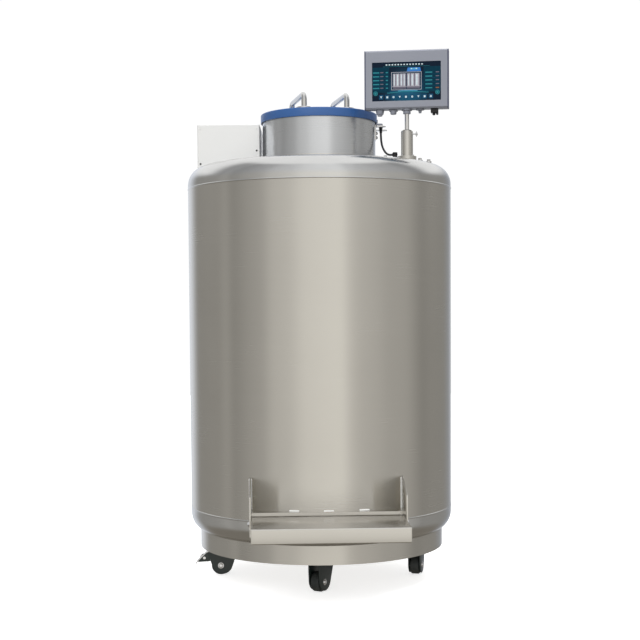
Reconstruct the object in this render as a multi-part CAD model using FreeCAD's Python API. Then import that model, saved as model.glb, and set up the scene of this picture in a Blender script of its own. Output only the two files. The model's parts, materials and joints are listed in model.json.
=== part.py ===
import FreeCAD
import Part
import math
import os
from FreeCAD import Vector

# A wide-neck liquid nitrogen storage tank on casters. Millimetres. The origin is on the floor on
# the tank's axis, +Z is up, and the folding step faces -Y.

# Tank body
SHELL_R = 437.5
WALL = 3.0
SHELL_Z = (239.0, 1290.0)
HEAD_STRAIGHT = 14.0
BOTTOM_STRAIGHT = 21.0
KNUCKLE_R = 60.0
CROWN_R = 2600.0
SKIRT_R = 407.0
SKIRT_WALL = 4.0
SKIRT_Z = 106.0
BASE_PLATE_Z = (112.0, 118.0)
BEAD = 2.5
BEAD_PROUD = 1.5

# Inner vessel, its wrap and its neck
VESSEL_R = 388.0
VESSEL_WALL = 4.0
VESSEL_Z = (225.0, 1262.0)
VESSEL_STRAIGHT = 15.0
VESSEL_KNUCKLE = 50.0
VESSEL_CROWN = 2300.0
CROWN_PLATE_R = 336.0
WRAP = 16.0
WRAP_GAP = 1.0
NECK_R = 163.0
NECK_WALL = 2.5
NECK_Z = (1326.0, 1522.0)
COLLAR_R = 188.0
COLLAR_LOW = 1370.0
COLLAR_WELD = 6.0
FLANGE = 4.0
GASKET_R = (170.0, 184.0)

# Lid
LID_R = 193.8
LID_SKIN = 3.0
LID_Z = (1510.0, 1538.0)
LID_UNDER = 1530.0
LID_DOME_R = 150.0
LID_DOME_RISE = 10.0
PLUG_R = (157.0, 138.0)
PLUG_DEPTH = 110.0
GAP = 0.3
# The handles run front to back, turned this far so that their rear ends lie toward -X
LID_TURN = 11.8
HANDLE_TUBE = 9.0
HANDLE_POSTS = 215.0
HANDLE_SPREAD = 142.0
HANDLE_TOP = 1591.0
HANDLE_BEND = 20.0
FOOT_R = 27.0
FOOT_H = 5.0

# Lid hinge, behind the collar
HINGE_OUT = 218.0
HINGE_Z = 1512.0
HINGE_PIN_R = 4.0
KNUCKLE_OUT = 9.0
ARM_HALF = 14.0
EAR = (14.5, 20.5)
EAR_FOOT = (1462.0, 1506.0)
HINGE_PLATE = dict(half=34.0, z=(1452.0, 1507.0), thick=6.0)
SADDLE = dict(half=30.0, z=(1512.0, 1535.0), thick=5.0)

# Lid lock and sensor, at +X
HASP_PLATE_Z = (1454.0, 1504.0)
HASP_HALF_ANGLE = 8.0
TAB = 3.0
COLLAR_TAB = dict(r=228.0, z=1488.0, y=(2.0, 26.0))
LID_TAB = dict(r=224.0, z=1500.5, y=(2.0, 26.0))
SENSOR = dict(r=(191.0, 212.0), z=(1496.0, 1508.0), y=(-24.0, -3.0))
LOCK_HOLE_R = 4.0
LOCK_HOLE_OUT = 214.0

# Mast and screen
MAST_AT = (281.0, -190.0)
MAST_R = 19.0
MAST_WALL = 2.0
MAST_TOP = 1463.0
MAST_BUSH_Z = 1436.0
MAST_SHOULDER = 9.0
MAST_FLANGE = (30.0, 1379.0)
ROD_R = 7.0
ROD_Z = (1412.0, 1513.0)
CLAMP_Z = 1449.5
CLAMP_R = 2.5
CLAMP_OUT = 34.0
CLAMP_KNOB = (27.0, 5.0)
SCREEN = dict(w=268.0, h=184.0, d=45.0, z=1527.5, turn=-7.5, wall=3.0, bezel=9.0)
DISPLAY = dict(w=218.0, h=122.0, z=1552.0, thick=4.0)

# Two small caps on the head, outside the mast
HEAD_CAPS_AT = ((323.0, -180.0), (352.0, -168.0))

# Piping box
BOX_X = (-402.0, -196.0)
BOX_Y = (-50.0, 190.0)
BOX_TOP = 1505.0
BOX_WALL = 2.0
BOX_SCREWS_AT = ((-206.0, 1418.0), (-206.0, 1490.0), (-392.0, 1375.0), (-392.0, 1490.0))
FILL_AT = (-374.0, 30.0)
FILL_R = 7.0
FILL_NIPPLE = 9.5
PROBE_AT = (-372.0, 70.0)
PROBE_R = 5.0
VENT_AT = (-250.0, 60.0)
VENT_R = 9.0
VENT_NIPPLE = 12.0
PIPE_Z = 1455.0
NIPPLE_OUT = 18.0
PIPE_BEND = 18.0
PIPE_FOOT = 225.0
VENT_FOOT = 1300.0
SOCKET_X = (-330.0, -300.0)
SOCKET_Z = (1425.0, 1450.0)

# Step
STEP_TURN = 2.5
BRACKET_X = (232.5, 237.5)
BRACKET_TOP = (376.0, 334.0)
BRACKET_FRONT = -513.0
BRACKET_LOW = 200.0
SHELF = dict(z=(273.0, 277.0), y=-445.0, lip=267.0)
BEAM_Y = (-575.0, -545.0)
TREAD = dict(x=231.5, y=(-665.0, -450.0), z=265.0, lip=45.0, side=26.0, rear=15.0, sheet=3.0)
STEP_PIVOT = (-475.0, 248.6)
STEP_BOLT_R = 5.0

# Casters
WHEEL_R = 32.0
WHEEL_HALF = 15.0
TRAIL = 18.0
CHEEK = (17.0, 21.0)
CHEEK_R = 35.0
CHEEK_MID = (-13.0, 38.0)
CHEEK_FRONT = ((26.0, 57.0), (43.0, 92.0))
CHEEK_REAR = (-50.0, 66.0)
BRAKE_REAR = (-60.0, 66.0)
AXLE_R = 5.0
FORK_TOP = 96.0
HOOD_R = 46.0
HOOD = 7.0
SWIVEL_R = 34.0
PLATE_HALF = 42.0
PLATE_Z = (106.0, 112.0)
KINGPIN_R = 6.0
PLATE_BOLT = dict(r=6.5, at=34.0, tall=5.0)
PEDAL_PIVOT = (-50.0, 76.0)
PEDAL_PIN_R = 3.0
PEDAL_WEB = 2.5
# Where each caster stands, which way its wheel trails, and whether it has a brake
CASTERS = {
    "front": dict(at=(0.0, -275.0), heading=-30.0, brake=False),
    "left": dict(at=(-322.0, -12.0), heading=-90.0, brake=True),
    "right": dict(at=(322.0, -12.0), heading=-15.0, brake=False),
    "rear": dict(at=(0.0, 275.0), heading=150.0, brake=True),
}

# Carousel
CAROUSEL_R = 364.0
CAROUSEL_FLOOR = (232.0, 238.0)
CAROUSEL_TOP = 1190.0
CAROUSEL_CAP = (1230.0, 1236.0)
POST_R = 22.0
POST_WALL = 3.0
PARTITION = 3.0
PIVOT_R = 42.0
PIVOT_Z = (130.0, 330.0)

# Sensor cable and the thin level tube, both held at both ends
CABLE_R = 3.5
CABLE_ROUTE = [(206, -13, 1496), (206, -13, 1467), (208, -27, 1437), (215, -54, 1413),
               (224, -86, 1398), (233, -118, 1392), (241, -146, 1390)]
LEVEL_R = 2.0
LEVEL_ROUTE = [(176, 134, 1396), (188, 108, 1393), (198, 78, 1391), (206, 46, 1391.5),
               (211, 12, 1390), (215, -22, 1389.5), (217, -54, 1388), (217, -84, 1388.5)]


def box(x0, x1, y0, y1, z0, z1):
    return Part.makeBox(x1 - x0, y1 - y0, z1 - z0, Vector(x0, y0, z0))


def cyl(r, z0, z1, x=0.0, y=0.0):
    return Part.makeCylinder(r, z1 - z0, Vector(x, y, z0))


def ring(r_in, r_out, z0, z1, x=0.0, y=0.0):
    return cyl(r_out, z0, z1, x, y).cut(cyl(r_in, z0 - 1, z1 + 1, x, y))


def rod(start, end, r):
    start, end = Vector(*start), Vector(*end)
    return Part.makeCylinder(r, (end - start).Length, start, end - start)


def prism_x(outline, x0, x1):
    # A closed outline of (y, z) points, extruded along X
    points = [Vector(x0, y, z) for y, z in outline]
    face = Part.Face(Part.makePolygon(points + points[:1]))
    return face.extrude(Vector(x1 - x0, 0, 0))


def prism_z(outline, z0, z1):
    points = [Vector(x, y, z0) for x, y in outline]
    face = Part.Face(Part.makePolygon(points + points[:1]))
    return face.extrude(Vector(0, 0, z1 - z0))


def turned(shape, angle, about=(0, 0, 0), axis=(0, 0, 1)):
    copy = shape.copy()
    copy.rotate(Vector(*about), Vector(*axis), angle)
    return copy


def moved(shape, x=0.0, y=0.0, z=0.0):
    copy = shape.copy()
    copy.translate(Vector(x, y, z))
    return copy


def fused(*shapes):
    whole = shapes[0].fuse(list(shapes[1:]))
    return whole.removeSplitter()


def save(name, *shapes):
    solids = [solid for shape in shapes for solid in shape.Solids]
    for solid in solids:
        if not solid.isValid() or solid.Volume <= 0:
            print("BAD SOLID", name, solid.Volume)
    whole = solids[0] if len(solids) == 1 else Part.makeCompound(solids)
    whole.exportStep("parts/" + name + ".step")
    print(name, len(solids), round(sum(s.Volume for s in solids) / 1000.0, 1), "cm3")


def head_profile(r, straight, knuckle, crown, grow):
    # Points of a dished head's curve from its open edge to its axis, with the tangent line at 0
    centre_r = r - knuckle
    drop = math.sqrt((crown - knuckle) ** 2 - centre_r ** 2)
    lean = math.atan2(centre_r, drop)
    small, large = knuckle + grow, crown + grow

    def on(radius, angle, centre_x, centre_z):
        return Vector(centre_x + radius * math.sin(angle), 0, centre_z + radius * math.cos(angle))

    edge = Vector(r + grow, 0, -straight)
    tangent = Vector(r + grow, 0, 0)
    knee = on(small, (lean + math.pi / 2) / 2, centre_r, 0)
    meet = on(small, lean, centre_r, 0)
    half = on(large, lean / 2, 0, -drop)
    apex = on(large, 0, 0, -drop)
    return edge, tangent, knee, meet, half, apex


def head_edges(points):
    edge, tangent, knee, meet, half, apex = points
    return [Part.LineSegment(edge, tangent).toShape(), Part.Arc(tangent, knee, meet).toShape(),
            Part.Arc(meet, half, apex).toShape()]


def head_shell(r, straight, knuckle, crown, wall):
    outer = head_profile(r, straight, knuckle, crown, 0)
    inner = head_profile(r, straight, knuckle, crown, -wall)
    close = [Part.LineSegment(outer[-1], inner[-1]).toShape(),
             Part.LineSegment(inner[0], outer[0]).toShape()]
    face = Part.Face(Part.Wire(Part.__sortEdges__(head_edges(outer) + close + head_edges(inner))))
    return face.revolve(Vector(), Vector(0, 0, 1), 360)


def head_solid(r, straight, knuckle, crown):
    outer = head_profile(r, straight, knuckle, crown, 0)
    foot = Vector(0, 0, -straight)
    close = [Part.LineSegment(outer[-1], foot).toShape(), Part.LineSegment(foot, outer[0]).toShape()]
    face = Part.Face(Part.Wire(Part.__sortEdges__(head_edges(outer) + close)))
    return face.revolve(Vector(), Vector(0, 0, 1), 360)


def flipped(shape):
    return turned(shape, 180, axis=(1, 0, 0))


def rounded_path(points, radius=None):
    # Straight runs joined by tangent arcs, each as large as its two runs allow unless one is given
    points = [Vector(*p) for p in points]
    edges, radii, last = [], [], points[0]
    for before, at, after in zip(points, points[1:], points[2:]):
        into, out = (before - at), (after - at)
        shorter = min(into.Length, out.Length)
        into.normalize()
        out.normalize()
        turn = math.pi - into.getAngle(out)
        r = radius or 0.45 * shorter / math.tan(turn / 2)
        cut = r * math.tan(turn / 2)
        start, end = at + into * cut, at + out * cut
        middle = into + out
        middle.normalize()
        crest = at + middle * (r / math.cos(turn / 2) - r)
        if (start - last).Length > 1e-6:
            edges.append(Part.LineSegment(last, start).toShape())
        edges.append(Part.Arc(start, crest, end).toShape())
        radii.append(round(r, 1))
        last = end
    edges.append(Part.LineSegment(last, points[-1]).toShape())
    return Part.Wire(edges), radii


def tube(points, r, radius=None, bore=0.0):
    path, radii = rounded_path(points, radius)
    start = Vector(*points[0])
    direction = Vector(*points[1]) - start

    def sweep(radius_of_section):
        circle = Part.Wire(Part.makeCircle(radius_of_section, start, direction))
        return path.makePipeShell([circle], True, False)

    solid = sweep(r)
    if bore:
        solid = solid.cut(sweep(bore))
    section = math.pi * (r ** 2 - bore ** 2)
    print("tube radii", radii, "length", round(path.Length, 1),
          "volume ratio", round(solid.Volume / (section * path.Length), 4))
    return solid


def head_height(x, y):
    # Height of the top head's crown above the floor at a point
    centre_r = SHELL_R - KNUCKLE_R
    drop = math.sqrt((CROWN_R - KNUCKLE_R) ** 2 - centre_r ** 2)
    return SHELL_Z[1] + HEAD_STRAIGHT - drop + math.sqrt(CROWN_R ** 2 - x * x - y * y)


def top_head_block():
    return moved(head_solid(SHELL_R, HEAD_STRAIGHT, KNUCKLE_R, CROWN_R), z=SHELL_Z[1] + HEAD_STRAIGHT)


def build_tank():
    low_tangent = SHELL_Z[0] - BOTTOM_STRAIGHT
    low_block = moved(flipped(head_solid(SHELL_R, BOTTOM_STRAIGHT, KNUCKLE_R, CROWN_R)), z=low_tangent)
    low_head = moved(flipped(head_shell(SHELL_R, BOTTOM_STRAIGHT, KNUCKLE_R, CROWN_R, WALL)), z=low_tangent)
    neck_hole = cyl(NECK_R + NECK_WALL, NECK_Z[0] - 50, NECK_Z[1])
    lines = [cyl(FILL_R, PIPE_FOOT, PIPE_Z, *FILL_AT), cyl(PROBE_R, PIPE_FOOT, PIPE_Z, *PROBE_AT),
             cyl(VENT_R, VESSEL_Z[1], PIPE_Z, *VENT_AT)]
    top = head_shell(SHELL_R, HEAD_STRAIGHT, KNUCKLE_R, CROWN_R, WALL)
    top = moved(top, z=SHELL_Z[1] + HEAD_STRAIGHT)
    for hole in [neck_hole] + lines:
        top = top.cut(hole)
    save("outer_shell", ring(SHELL_R - WALL, SHELL_R, *SHELL_Z))
    save("top_head", top)
    save("bottom_head", low_head)
    save("skirt", ring(SKIRT_R - SKIRT_WALL, SKIRT_R, SKIRT_Z, low_tangent).cut(low_block))
    save("base_plate", cyl(SKIRT_R - SKIRT_WALL, *BASE_PLATE_Z))
    beads = [bead(SHELL_R, z) for z in SHELL_Z]
    weld_r = COLLAR_R + COLLAR_WELD
    foot = ring(COLLAR_R, weld_r, COLLAR_LOW, head_height(weld_r, 0) + COLLAR_WELD).cut(top_head_block())
    save("weld_rings", *beads, foot)
    build_vessel(neck_hole, lines)
    build_neck()


def bead(r, z):
    # A half-round weld bead standing proud of the wall
    arc = Part.Arc(Vector(r, 0, z - BEAD), Vector(r + BEAD_PROUD, 0, z), Vector(r, 0, z + BEAD)).toShape()
    flat = Part.LineSegment(Vector(r, 0, z + BEAD), Vector(r, 0, z - BEAD)).toShape()
    return Part.Face(Part.Wire([arc, flat])).revolve(Vector(), Vector(0, 0, 1), 360)


def build_vessel(neck_hole, lines):
    # Four plates that meet at their weld seams: the wall, the bottom head, and a top head made of
    # a knuckle ring and a crown plate
    low, high = VESSEL_Z
    head = head_shell(VESSEL_R, VESSEL_STRAIGHT, VESSEL_KNUCKLE, VESSEL_CROWN, VESSEL_WALL)
    wall = ring(VESSEL_R - VESSEL_WALL, VESSEL_R, low + VESSEL_STRAIGHT, high - VESSEL_STRAIGHT)
    top = moved(head, z=high)
    crown = cyl(CROWN_PLATE_R, high, high + VESSEL_R)
    plates = [wall, moved(flipped(head), z=low), top.cut(crown), top.common(crown)]
    for hole in [neck_hole] + lines:
        plates = [plate.cut(hole) for plate in plates]
    save("inner_vessel", *plates)
    wrap_in = VESSEL_R + WRAP_GAP
    save("insulation_wrap", ring(wrap_in, wrap_in + WRAP, *VESSEL_Z))


def build_neck():
    save("neck_tube", ring(NECK_R, NECK_R + NECK_WALL, *NECK_Z))
    flange_low = NECK_Z[1] - FLANGE
    save("collar", ring(COLLAR_R - WALL, COLLAR_R, COLLAR_LOW, flange_low).cut(top_head_block()))
    save("neck_flange", ring(NECK_R + NECK_WALL, COLLAR_R, flange_low, NECK_Z[1]))
    save("neck_gasket", ring(*GASKET_R, NECK_Z[1], LID_UNDER - GAP))


def build_lid():
    rise = LID_DOME_RISE
    dome_r = (LID_DOME_R ** 2 + rise ** 2) / (2 * rise)
    dome = Part.makeSphere(dome_r, Vector(0, 0, LID_Z[1] + rise - dome_r))
    dome = dome.common(cyl(LID_DOME_R, LID_Z[1] - 1, LID_Z[1] + rise + 1))
    disc = cyl(LID_R, LID_UNDER, LID_Z[1])
    disc = disc.makeFillet(LID_SKIN, [e for e in disc.Edges if is_circle_at(e, LID_Z[1])])
    rim = ring(LID_R - LID_SKIN, LID_R, LID_Z[0], LID_UNDER + 1)
    save("lid_cover", fused(disc, dome, rim))
    save("lid_plug", Part.makeCone(PLUG_R[1], PLUG_R[0], PLUG_DEPTH, Vector(0, 0, LID_UNDER - PLUG_DEPTH)))
    handles = []
    for side in (-1, 1):
        x = side * HANDLE_SPREAD / 2
        ends = (-HANDLE_POSTS / 2, HANDLE_POSTS / 2)
        foot_z = lid_top(math.hypot(x, ends[0]))
        low = foot_z + FOOT_H
        route = [(x, ends[0], low), (x, ends[0], HANDLE_TOP), (x, ends[1], HANDLE_TOP), (x, ends[1], low)]
        bar = tube(route, HANDLE_TUBE, HANDLE_BEND)
        feet = [cyl(FOOT_R, LID_Z[1] - 1, low, x, y) for y in ends]
        handles.append(fused(bar, *feet).cut(fused(disc, dome)))
    save("lid_handles", *[turned(handle, LID_TURN) for handle in handles])
    build_hinge()


def lid_top(r):
    if r > LID_DOME_R:
        return LID_Z[1]
    dome_r = (LID_DOME_R ** 2 + LID_DOME_RISE ** 2) / (2 * LID_DOME_RISE)
    return LID_Z[1] + LID_DOME_RISE - dome_r + math.sqrt(dome_r ** 2 - r ** 2)


def is_circle_at(edge, z):
    box_of = edge.BoundBox
    return abs(box_of.ZMin - z) < 1e-6 and abs(box_of.ZMax - z) < 1e-6


def build_hinge():
    # Drawn straight behind the collar (+Y), then turned with the handles
    pin = rod((-EAR[1] - 1.5, HINGE_OUT, HINGE_Z), (EAR[1] + 1.5, HINGE_OUT, HINGE_Z), HINGE_PIN_R)
    bore = rod((-50, HINGE_OUT, HINGE_Z), (50, HINGE_OUT, HINGE_Z), HINGE_PIN_R)
    wide_bore = rod((-50, HINGE_OUT, HINGE_Z), (50, HINGE_OUT, HINGE_Z), HINGE_PIN_R + GAP)
    collar_block = cyl(COLLAR_R, 1400, 1600)
    plate_half = HINGE_PLATE["half"]
    plate = box(-plate_half, plate_half, 150, COLLAR_R + HINGE_PLATE["thick"], *HINGE_PLATE["z"])
    plate = plate.cut(collar_block)
    ears = []
    for side in (-1, 1):
        x0, x1 = sorted((side * EAR[0], side * EAR[1]))
        ear_low, ear_high = EAR_FOOT
        web = prism_x([(COLLAR_R - 2, ear_low), (COLLAR_R - 2, ear_high), (HINGE_OUT - 6, ear_high),
                       (HINGE_OUT + 4, ear_high - 2.2)], x0, x1)
        eye = rod((x0, HINGE_OUT, HINGE_Z), (x1, HINGE_OUT, HINGE_Z), KNUCKLE_OUT)
        ears.append(fused(web, eye).cut(collar_block))
    bracket = fused(plate, *ears).cut(bore)
    save("hinge_bracket", turned(bracket, LID_TURN))
    save("hinge_pin", turned(pin, LID_TURN))
    lid_block = cyl(LID_R, LID_Z[0], LID_Z[1])
    saddle = box(-SADDLE["half"], SADDLE["half"], 180, LID_R + SADDLE["thick"], *SADDLE["z"]).cut(lid_block)
    arm = prism_x([(190, 1514), (190, 1533), (LID_R + 6, 1533), (HINGE_OUT + 4, 1520), (HINGE_OUT, 1512)],
                  -ARM_HALF, ARM_HALF)
    eye = rod((-ARM_HALF, HINGE_OUT, HINGE_Z), (ARM_HALF, HINGE_OUT, HINGE_Z), KNUCKLE_OUT)
    arm = fused(saddle, arm.cut(lid_block), eye).cut(wide_bore)
    save("lid_hinge_arm", turned(arm, LID_TURN))


def sector(r_in, r_out, z0, z1, half_angle):
    # A curved strip of plate centred on +X
    whole = Part.makeCylinder(r_out, z1 - z0, Vector(0, 0, z0), Vector(0, 0, 1), 2 * half_angle)
    return turned(whole, -half_angle).cut(cyl(r_in, z0 - 1, z1 + 1))


def tab(spec, r_in):
    plate = box(r_in, spec["r"] - 12, *spec["y"], spec["z"], spec["z"] + TAB)
    middle = sum(spec["y"]) / 2
    nose = cyl(12, spec["z"], spec["z"] + TAB, spec["r"] - 12, middle)
    hole = cyl(LOCK_HOLE_R, spec["z"] - 5, spec["z"] + 10, LOCK_HOLE_OUT, middle)
    return fused(plate, nose).cut(hole)


def build_lock():
    strip_r = COLLAR_R + TAB
    strip = sector(COLLAR_R, strip_r, *HASP_PLATE_Z, HASP_HALF_ANGLE)
    screws = []
    for z in (HASP_PLATE_Z[0] + 10, HASP_PLATE_Z[0] + 24):
        dome = Part.makeSphere(6, Vector(strip_r, 0, z)).cut(cyl(strip_r, z - 10, z + 10))
        screws.append(dome)
    tongue = tab(COLLAR_TAB, strip_r - 1).cut(cyl(strip_r - 0.5, 1400, 1600))
    save("collar_hasp", fused(strip, tongue, *screws))
    hanger = sector(LID_R, LID_R + TAB, LID_TAB["z"], LID_Z[0] + 14, HASP_HALF_ANGLE)
    hanger = hanger.common(box(150, 260, *LID_TAB["y"], 1400, 1600))
    save("lid_hasp_tab", fused(hanger, tab(LID_TAB, LID_R + 1).cut(cyl(LID_R + 1, 1400, 1600))))
    body = box(*SENSOR["r"], *SENSOR["y"], *SENSOR["z"])
    body = body.makeFillet(2, [e for e in body.Edges if abs(e.BoundBox.XMin - SENSOR["r"][1]) < 1e-6])
    save("lid_sensor", body.cut(cyl(strip_r, 1400, 1600)))


def build_cords():
    save("sensor_cable", tube(CABLE_ROUTE, CABLE_R))
    save("level_tube", tube(LEVEL_ROUTE, LEVEL_R))
    glands = [elbow_gland(CABLE_ROUTE[-2], CABLE_ROUTE[-1], 6.5, CABLE_R),
              elbow_gland(LEVEL_ROUTE[-2], LEVEL_ROUTE[-1], 4.5, LEVEL_R),
              elbow_gland(LEVEL_ROUTE[1], LEVEL_ROUTE[0], 4.5, LEVEL_R)]
    save("head_glands", *glands)
    caps = []
    for x, y in HEAD_CAPS_AT:
        top = head_height(x, y) + 7
        cap = fused(cyl(9, top - 30, top - 3, x, y), cyl(6, top - 3, top + 2, x, y))
        caps.append(cap.cut(top_head_block()))
    save("head_caps", *caps)


def elbow_gland(before, end, body_r, cord_r):
    # A fitting on the head whose side mouth meets the end of a cord face to face
    end, before = Vector(*end), Vector(*before)
    way = end - before
    way.normalize()
    spout = Part.makeCylinder(body_r, 3 * body_r, end, way)
    centre = end + way * 2 * body_r
    stem = cyl(body_r * 1.15, head_height(centre.x, centre.y) - 25, centre.z + body_r, centre.x, centre.y)
    return fused(stem, spout).cut(top_head_block())


def build_piping_box():
    block = top_head_block()
    outer = box(*BOX_X, *BOX_Y, 1330, BOX_TOP)
    corners = [e for e in outer.Edges if e.BoundBox.ZLength > 10 or abs(e.BoundBox.ZMin - BOX_TOP) < 1e-6]
    outer = outer.makeFillet(4, corners)
    inner = box(BOX_X[0] + BOX_WALL, BOX_X[1] - BOX_WALL, BOX_Y[0] + BOX_WALL, BOX_Y[1] - BOX_WALL,
                1300, BOX_TOP - BOX_WALL)
    cover = outer.cut(inner).cut(block)
    rear = BOX_Y[1]
    holes = [rod((FILL_AT[0], rear - 20, PIPE_Z), (FILL_AT[0], rear + 20, PIPE_Z), FILL_R),
             rod((VENT_AT[0], rear - 20, PIPE_Z), (VENT_AT[0], rear + 20, PIPE_Z), VENT_R),
             box(*SOCKET_X, rear - 20, rear + 20, *SOCKET_Z)]
    for hole in holes:
        cover = cover.cut(hole)
    save("box_cover", cover)
    save("box_screws", *[rod((x, BOX_Y[0] - 2, z), (x, BOX_Y[0], z), 5) for x, z in BOX_SCREWS_AT])
    pipes = []
    runs = ((FILL_AT, FILL_R, PIPE_FOOT, FILL_NIPPLE), (VENT_AT, VENT_R, VENT_FOOT, VENT_NIPPLE))
    for at, r, foot, nipple_r in runs:
        route = [(at[0], at[1], foot), (at[0], at[1], PIPE_Z), (at[0], rear + 2, PIPE_Z)]
        line = tube(route, r, PIPE_BEND, r - 1.5)
        nipple = rod((at[0], rear, PIPE_Z), (at[0], rear + NIPPLE_OUT, PIPE_Z), nipple_r)
        through = rod((at[0], rear - 40, PIPE_Z), (at[0], rear + 40, PIPE_Z), r - 1.5)
        pipes.append(fused(line, nipple).cut(through))
    socket = box(*SOCKET_X, rear - 25, rear + 1, *SOCKET_Z)
    save("fill_pipes", *pipes)
    valves = [valve(at, r) for at, r in ((FILL_AT, FILL_R), (VENT_AT, VENT_R))]
    save("fill_valves", *valves, socket)
    probe_top = PIPE_Z - FILL_R - 6
    save("level_probe", cyl(PROBE_R, PIPE_FOOT, probe_top - 20, *PROBE_AT).fuse(
        cyl(PROBE_R * 2.4, probe_top - 20, probe_top, *PROBE_AT)).removeSplitter())


def valve(at, r):
    # A solenoid valve clamped round the horizontal run of a pipe
    y = at[1] + 80
    body = box(at[0] - 15, at[0] + 15, y - 18, y + 18, PIPE_Z - 15, PIPE_Z + 15)
    coil = cyl(14, PIPE_Z + 15, BOX_TOP - BOX_WALL - 4, at[0], y)
    return fused(body, coil).cut(rod((at[0], y - 30, PIPE_Z), (at[0], y + 30, PIPE_Z), r))


def build_mast():
    x, y = MAST_AT
    block = top_head_block()
    tube_body = ring(MAST_R - MAST_WALL, MAST_R, 1340, MAST_BUSH_Z, x, y)
    bush = cyl(MAST_R, MAST_BUSH_Z, MAST_TOP, x, y)
    bush = bush.makeFillet(MAST_SHOULDER, [e for e in bush.Edges if is_circle_at(e, MAST_TOP)])
    bush = bush.cut(cyl(ROD_R + GAP, 1300, 1500, x, y))
    bush = bush.cut(rod((x, y, CLAMP_Z), (x + 40, y, CLAMP_Z), CLAMP_R + GAP))
    flange = ring(MAST_R - 1, MAST_FLANGE[0], 1340, MAST_FLANGE[1], x, y)
    save("mast_tube", fused(tube_body, bush, flange).cut(block))
    save("mast_rod", cyl(ROD_R, *ROD_Z, x, y))
    shank = rod((x + ROD_R + 2 * GAP, y, CLAMP_Z), (x + CLAMP_OUT, y, CLAMP_Z), CLAMP_R)
    knob = rod((x + CLAMP_KNOB[0], y, CLAMP_Z), (x + CLAMP_OUT, y, CLAMP_Z), CLAMP_KNOB[1])
    wing = box(x + CLAMP_KNOB[0] + 2, x + CLAMP_OUT + 1, y - 2, y + 2, CLAMP_Z - 9, CLAMP_Z + 9)
    save("mast_clamp", fused(shank, knob, wing))


def at_screen(shape):
    # From the screen's own frame, centred on its lower edge, to its place on the mast
    return moved(turned(shape, SCREEN["turn"]), MAST_AT[0], MAST_AT[1], 0)


def build_screen():
    half, low, high = SCREEN["w"] / 2, SCREEN["z"], SCREEN["z"] + SCREEN["h"]
    front, back, wall = -SCREEN["d"] / 2, SCREEN["d"] / 2, SCREEN["wall"]
    seam = front + SCREEN["bezel"]
    case = box(-half, half, seam, back, low, high)
    case = case.makeFillet(4, [e for e in case.Edges if e.BoundBox.YLength > 10])
    hollow = box(-half + wall, half - wall, seam - 1, back - wall, low + wall, high - wall)
    save("screen_case", at_screen(case.cut(hollow)))
    bezel = box(-half, half, front, seam, low, high)
    bezel = bezel.makeChamfer(5, [e for e in bezel.Edges if abs(e.BoundBox.YMax - front) < 1e-6])
    view = (-DISPLAY["w"] / 2, DISPLAY["w"] / 2)
    top = DISPLAY["z"] + DISPLAY["h"]
    bezel = bezel.cut(box(*view, front - 1, seam + 1, DISPLAY["z"], top))
    save("screen_bezel", at_screen(bezel))
    glass = box(*view, front + 1, front + 1 + DISPLAY["thick"], DISPLAY["z"], top)
    save("screen_display", at_screen(glass))
    board = box(view[0] + 4, view[1] - 4, seam + 4, seam + 6, DISPLAY["z"] + 4, top - 4)
    chip_z = DISPLAY["z"] + 30
    chips = [box(x, x + 24, seam + 6, seam + 10, chip_z, chip_z + 24) for x in (-70, -12, 46)]
    corners = [(x, z) for x in (-95, 95) for z in (DISPLAY["z"] + 12, top - 12)]
    posts = [rod((x, seam + 6, z), (x, back - wall, z), 3) for x, z in corners]
    save("screen_board", at_screen(fused(board, *chips, *posts)))
    # Gland, flange connector, mast boss, small round connector and dark two-lead connector
    boss = fused(cyl(12, ROD_Z[1], low, 0, 0), cyl(17, low - 4, low, 0, 0))
    fittings = [fused(cyl(13, low - 14, low, -86, 0), cyl(8, low - 20, low - 14, -86, 0)),
                fused(cyl(16, low - 5, low, -43, 0), cyl(10, low - 15, low - 5, -43, 0)),
                boss,
                fused(cyl(14, low - 4, low, 42, 0), cyl(5, low - 13, low - 4, 42, 0)),
                fused(box(76, 100, -12, 12, low - 13, low), cyl(5, low - 20, low - 13, 86, 0),
                      rod((94, 0, low - 12), (99, 0, low - 20), 3.5))]
    save("screen_fittings", *[at_screen(fitting) for fitting in fittings])


def at_step(shape):
    return turned(shape, STEP_TURN)


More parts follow.
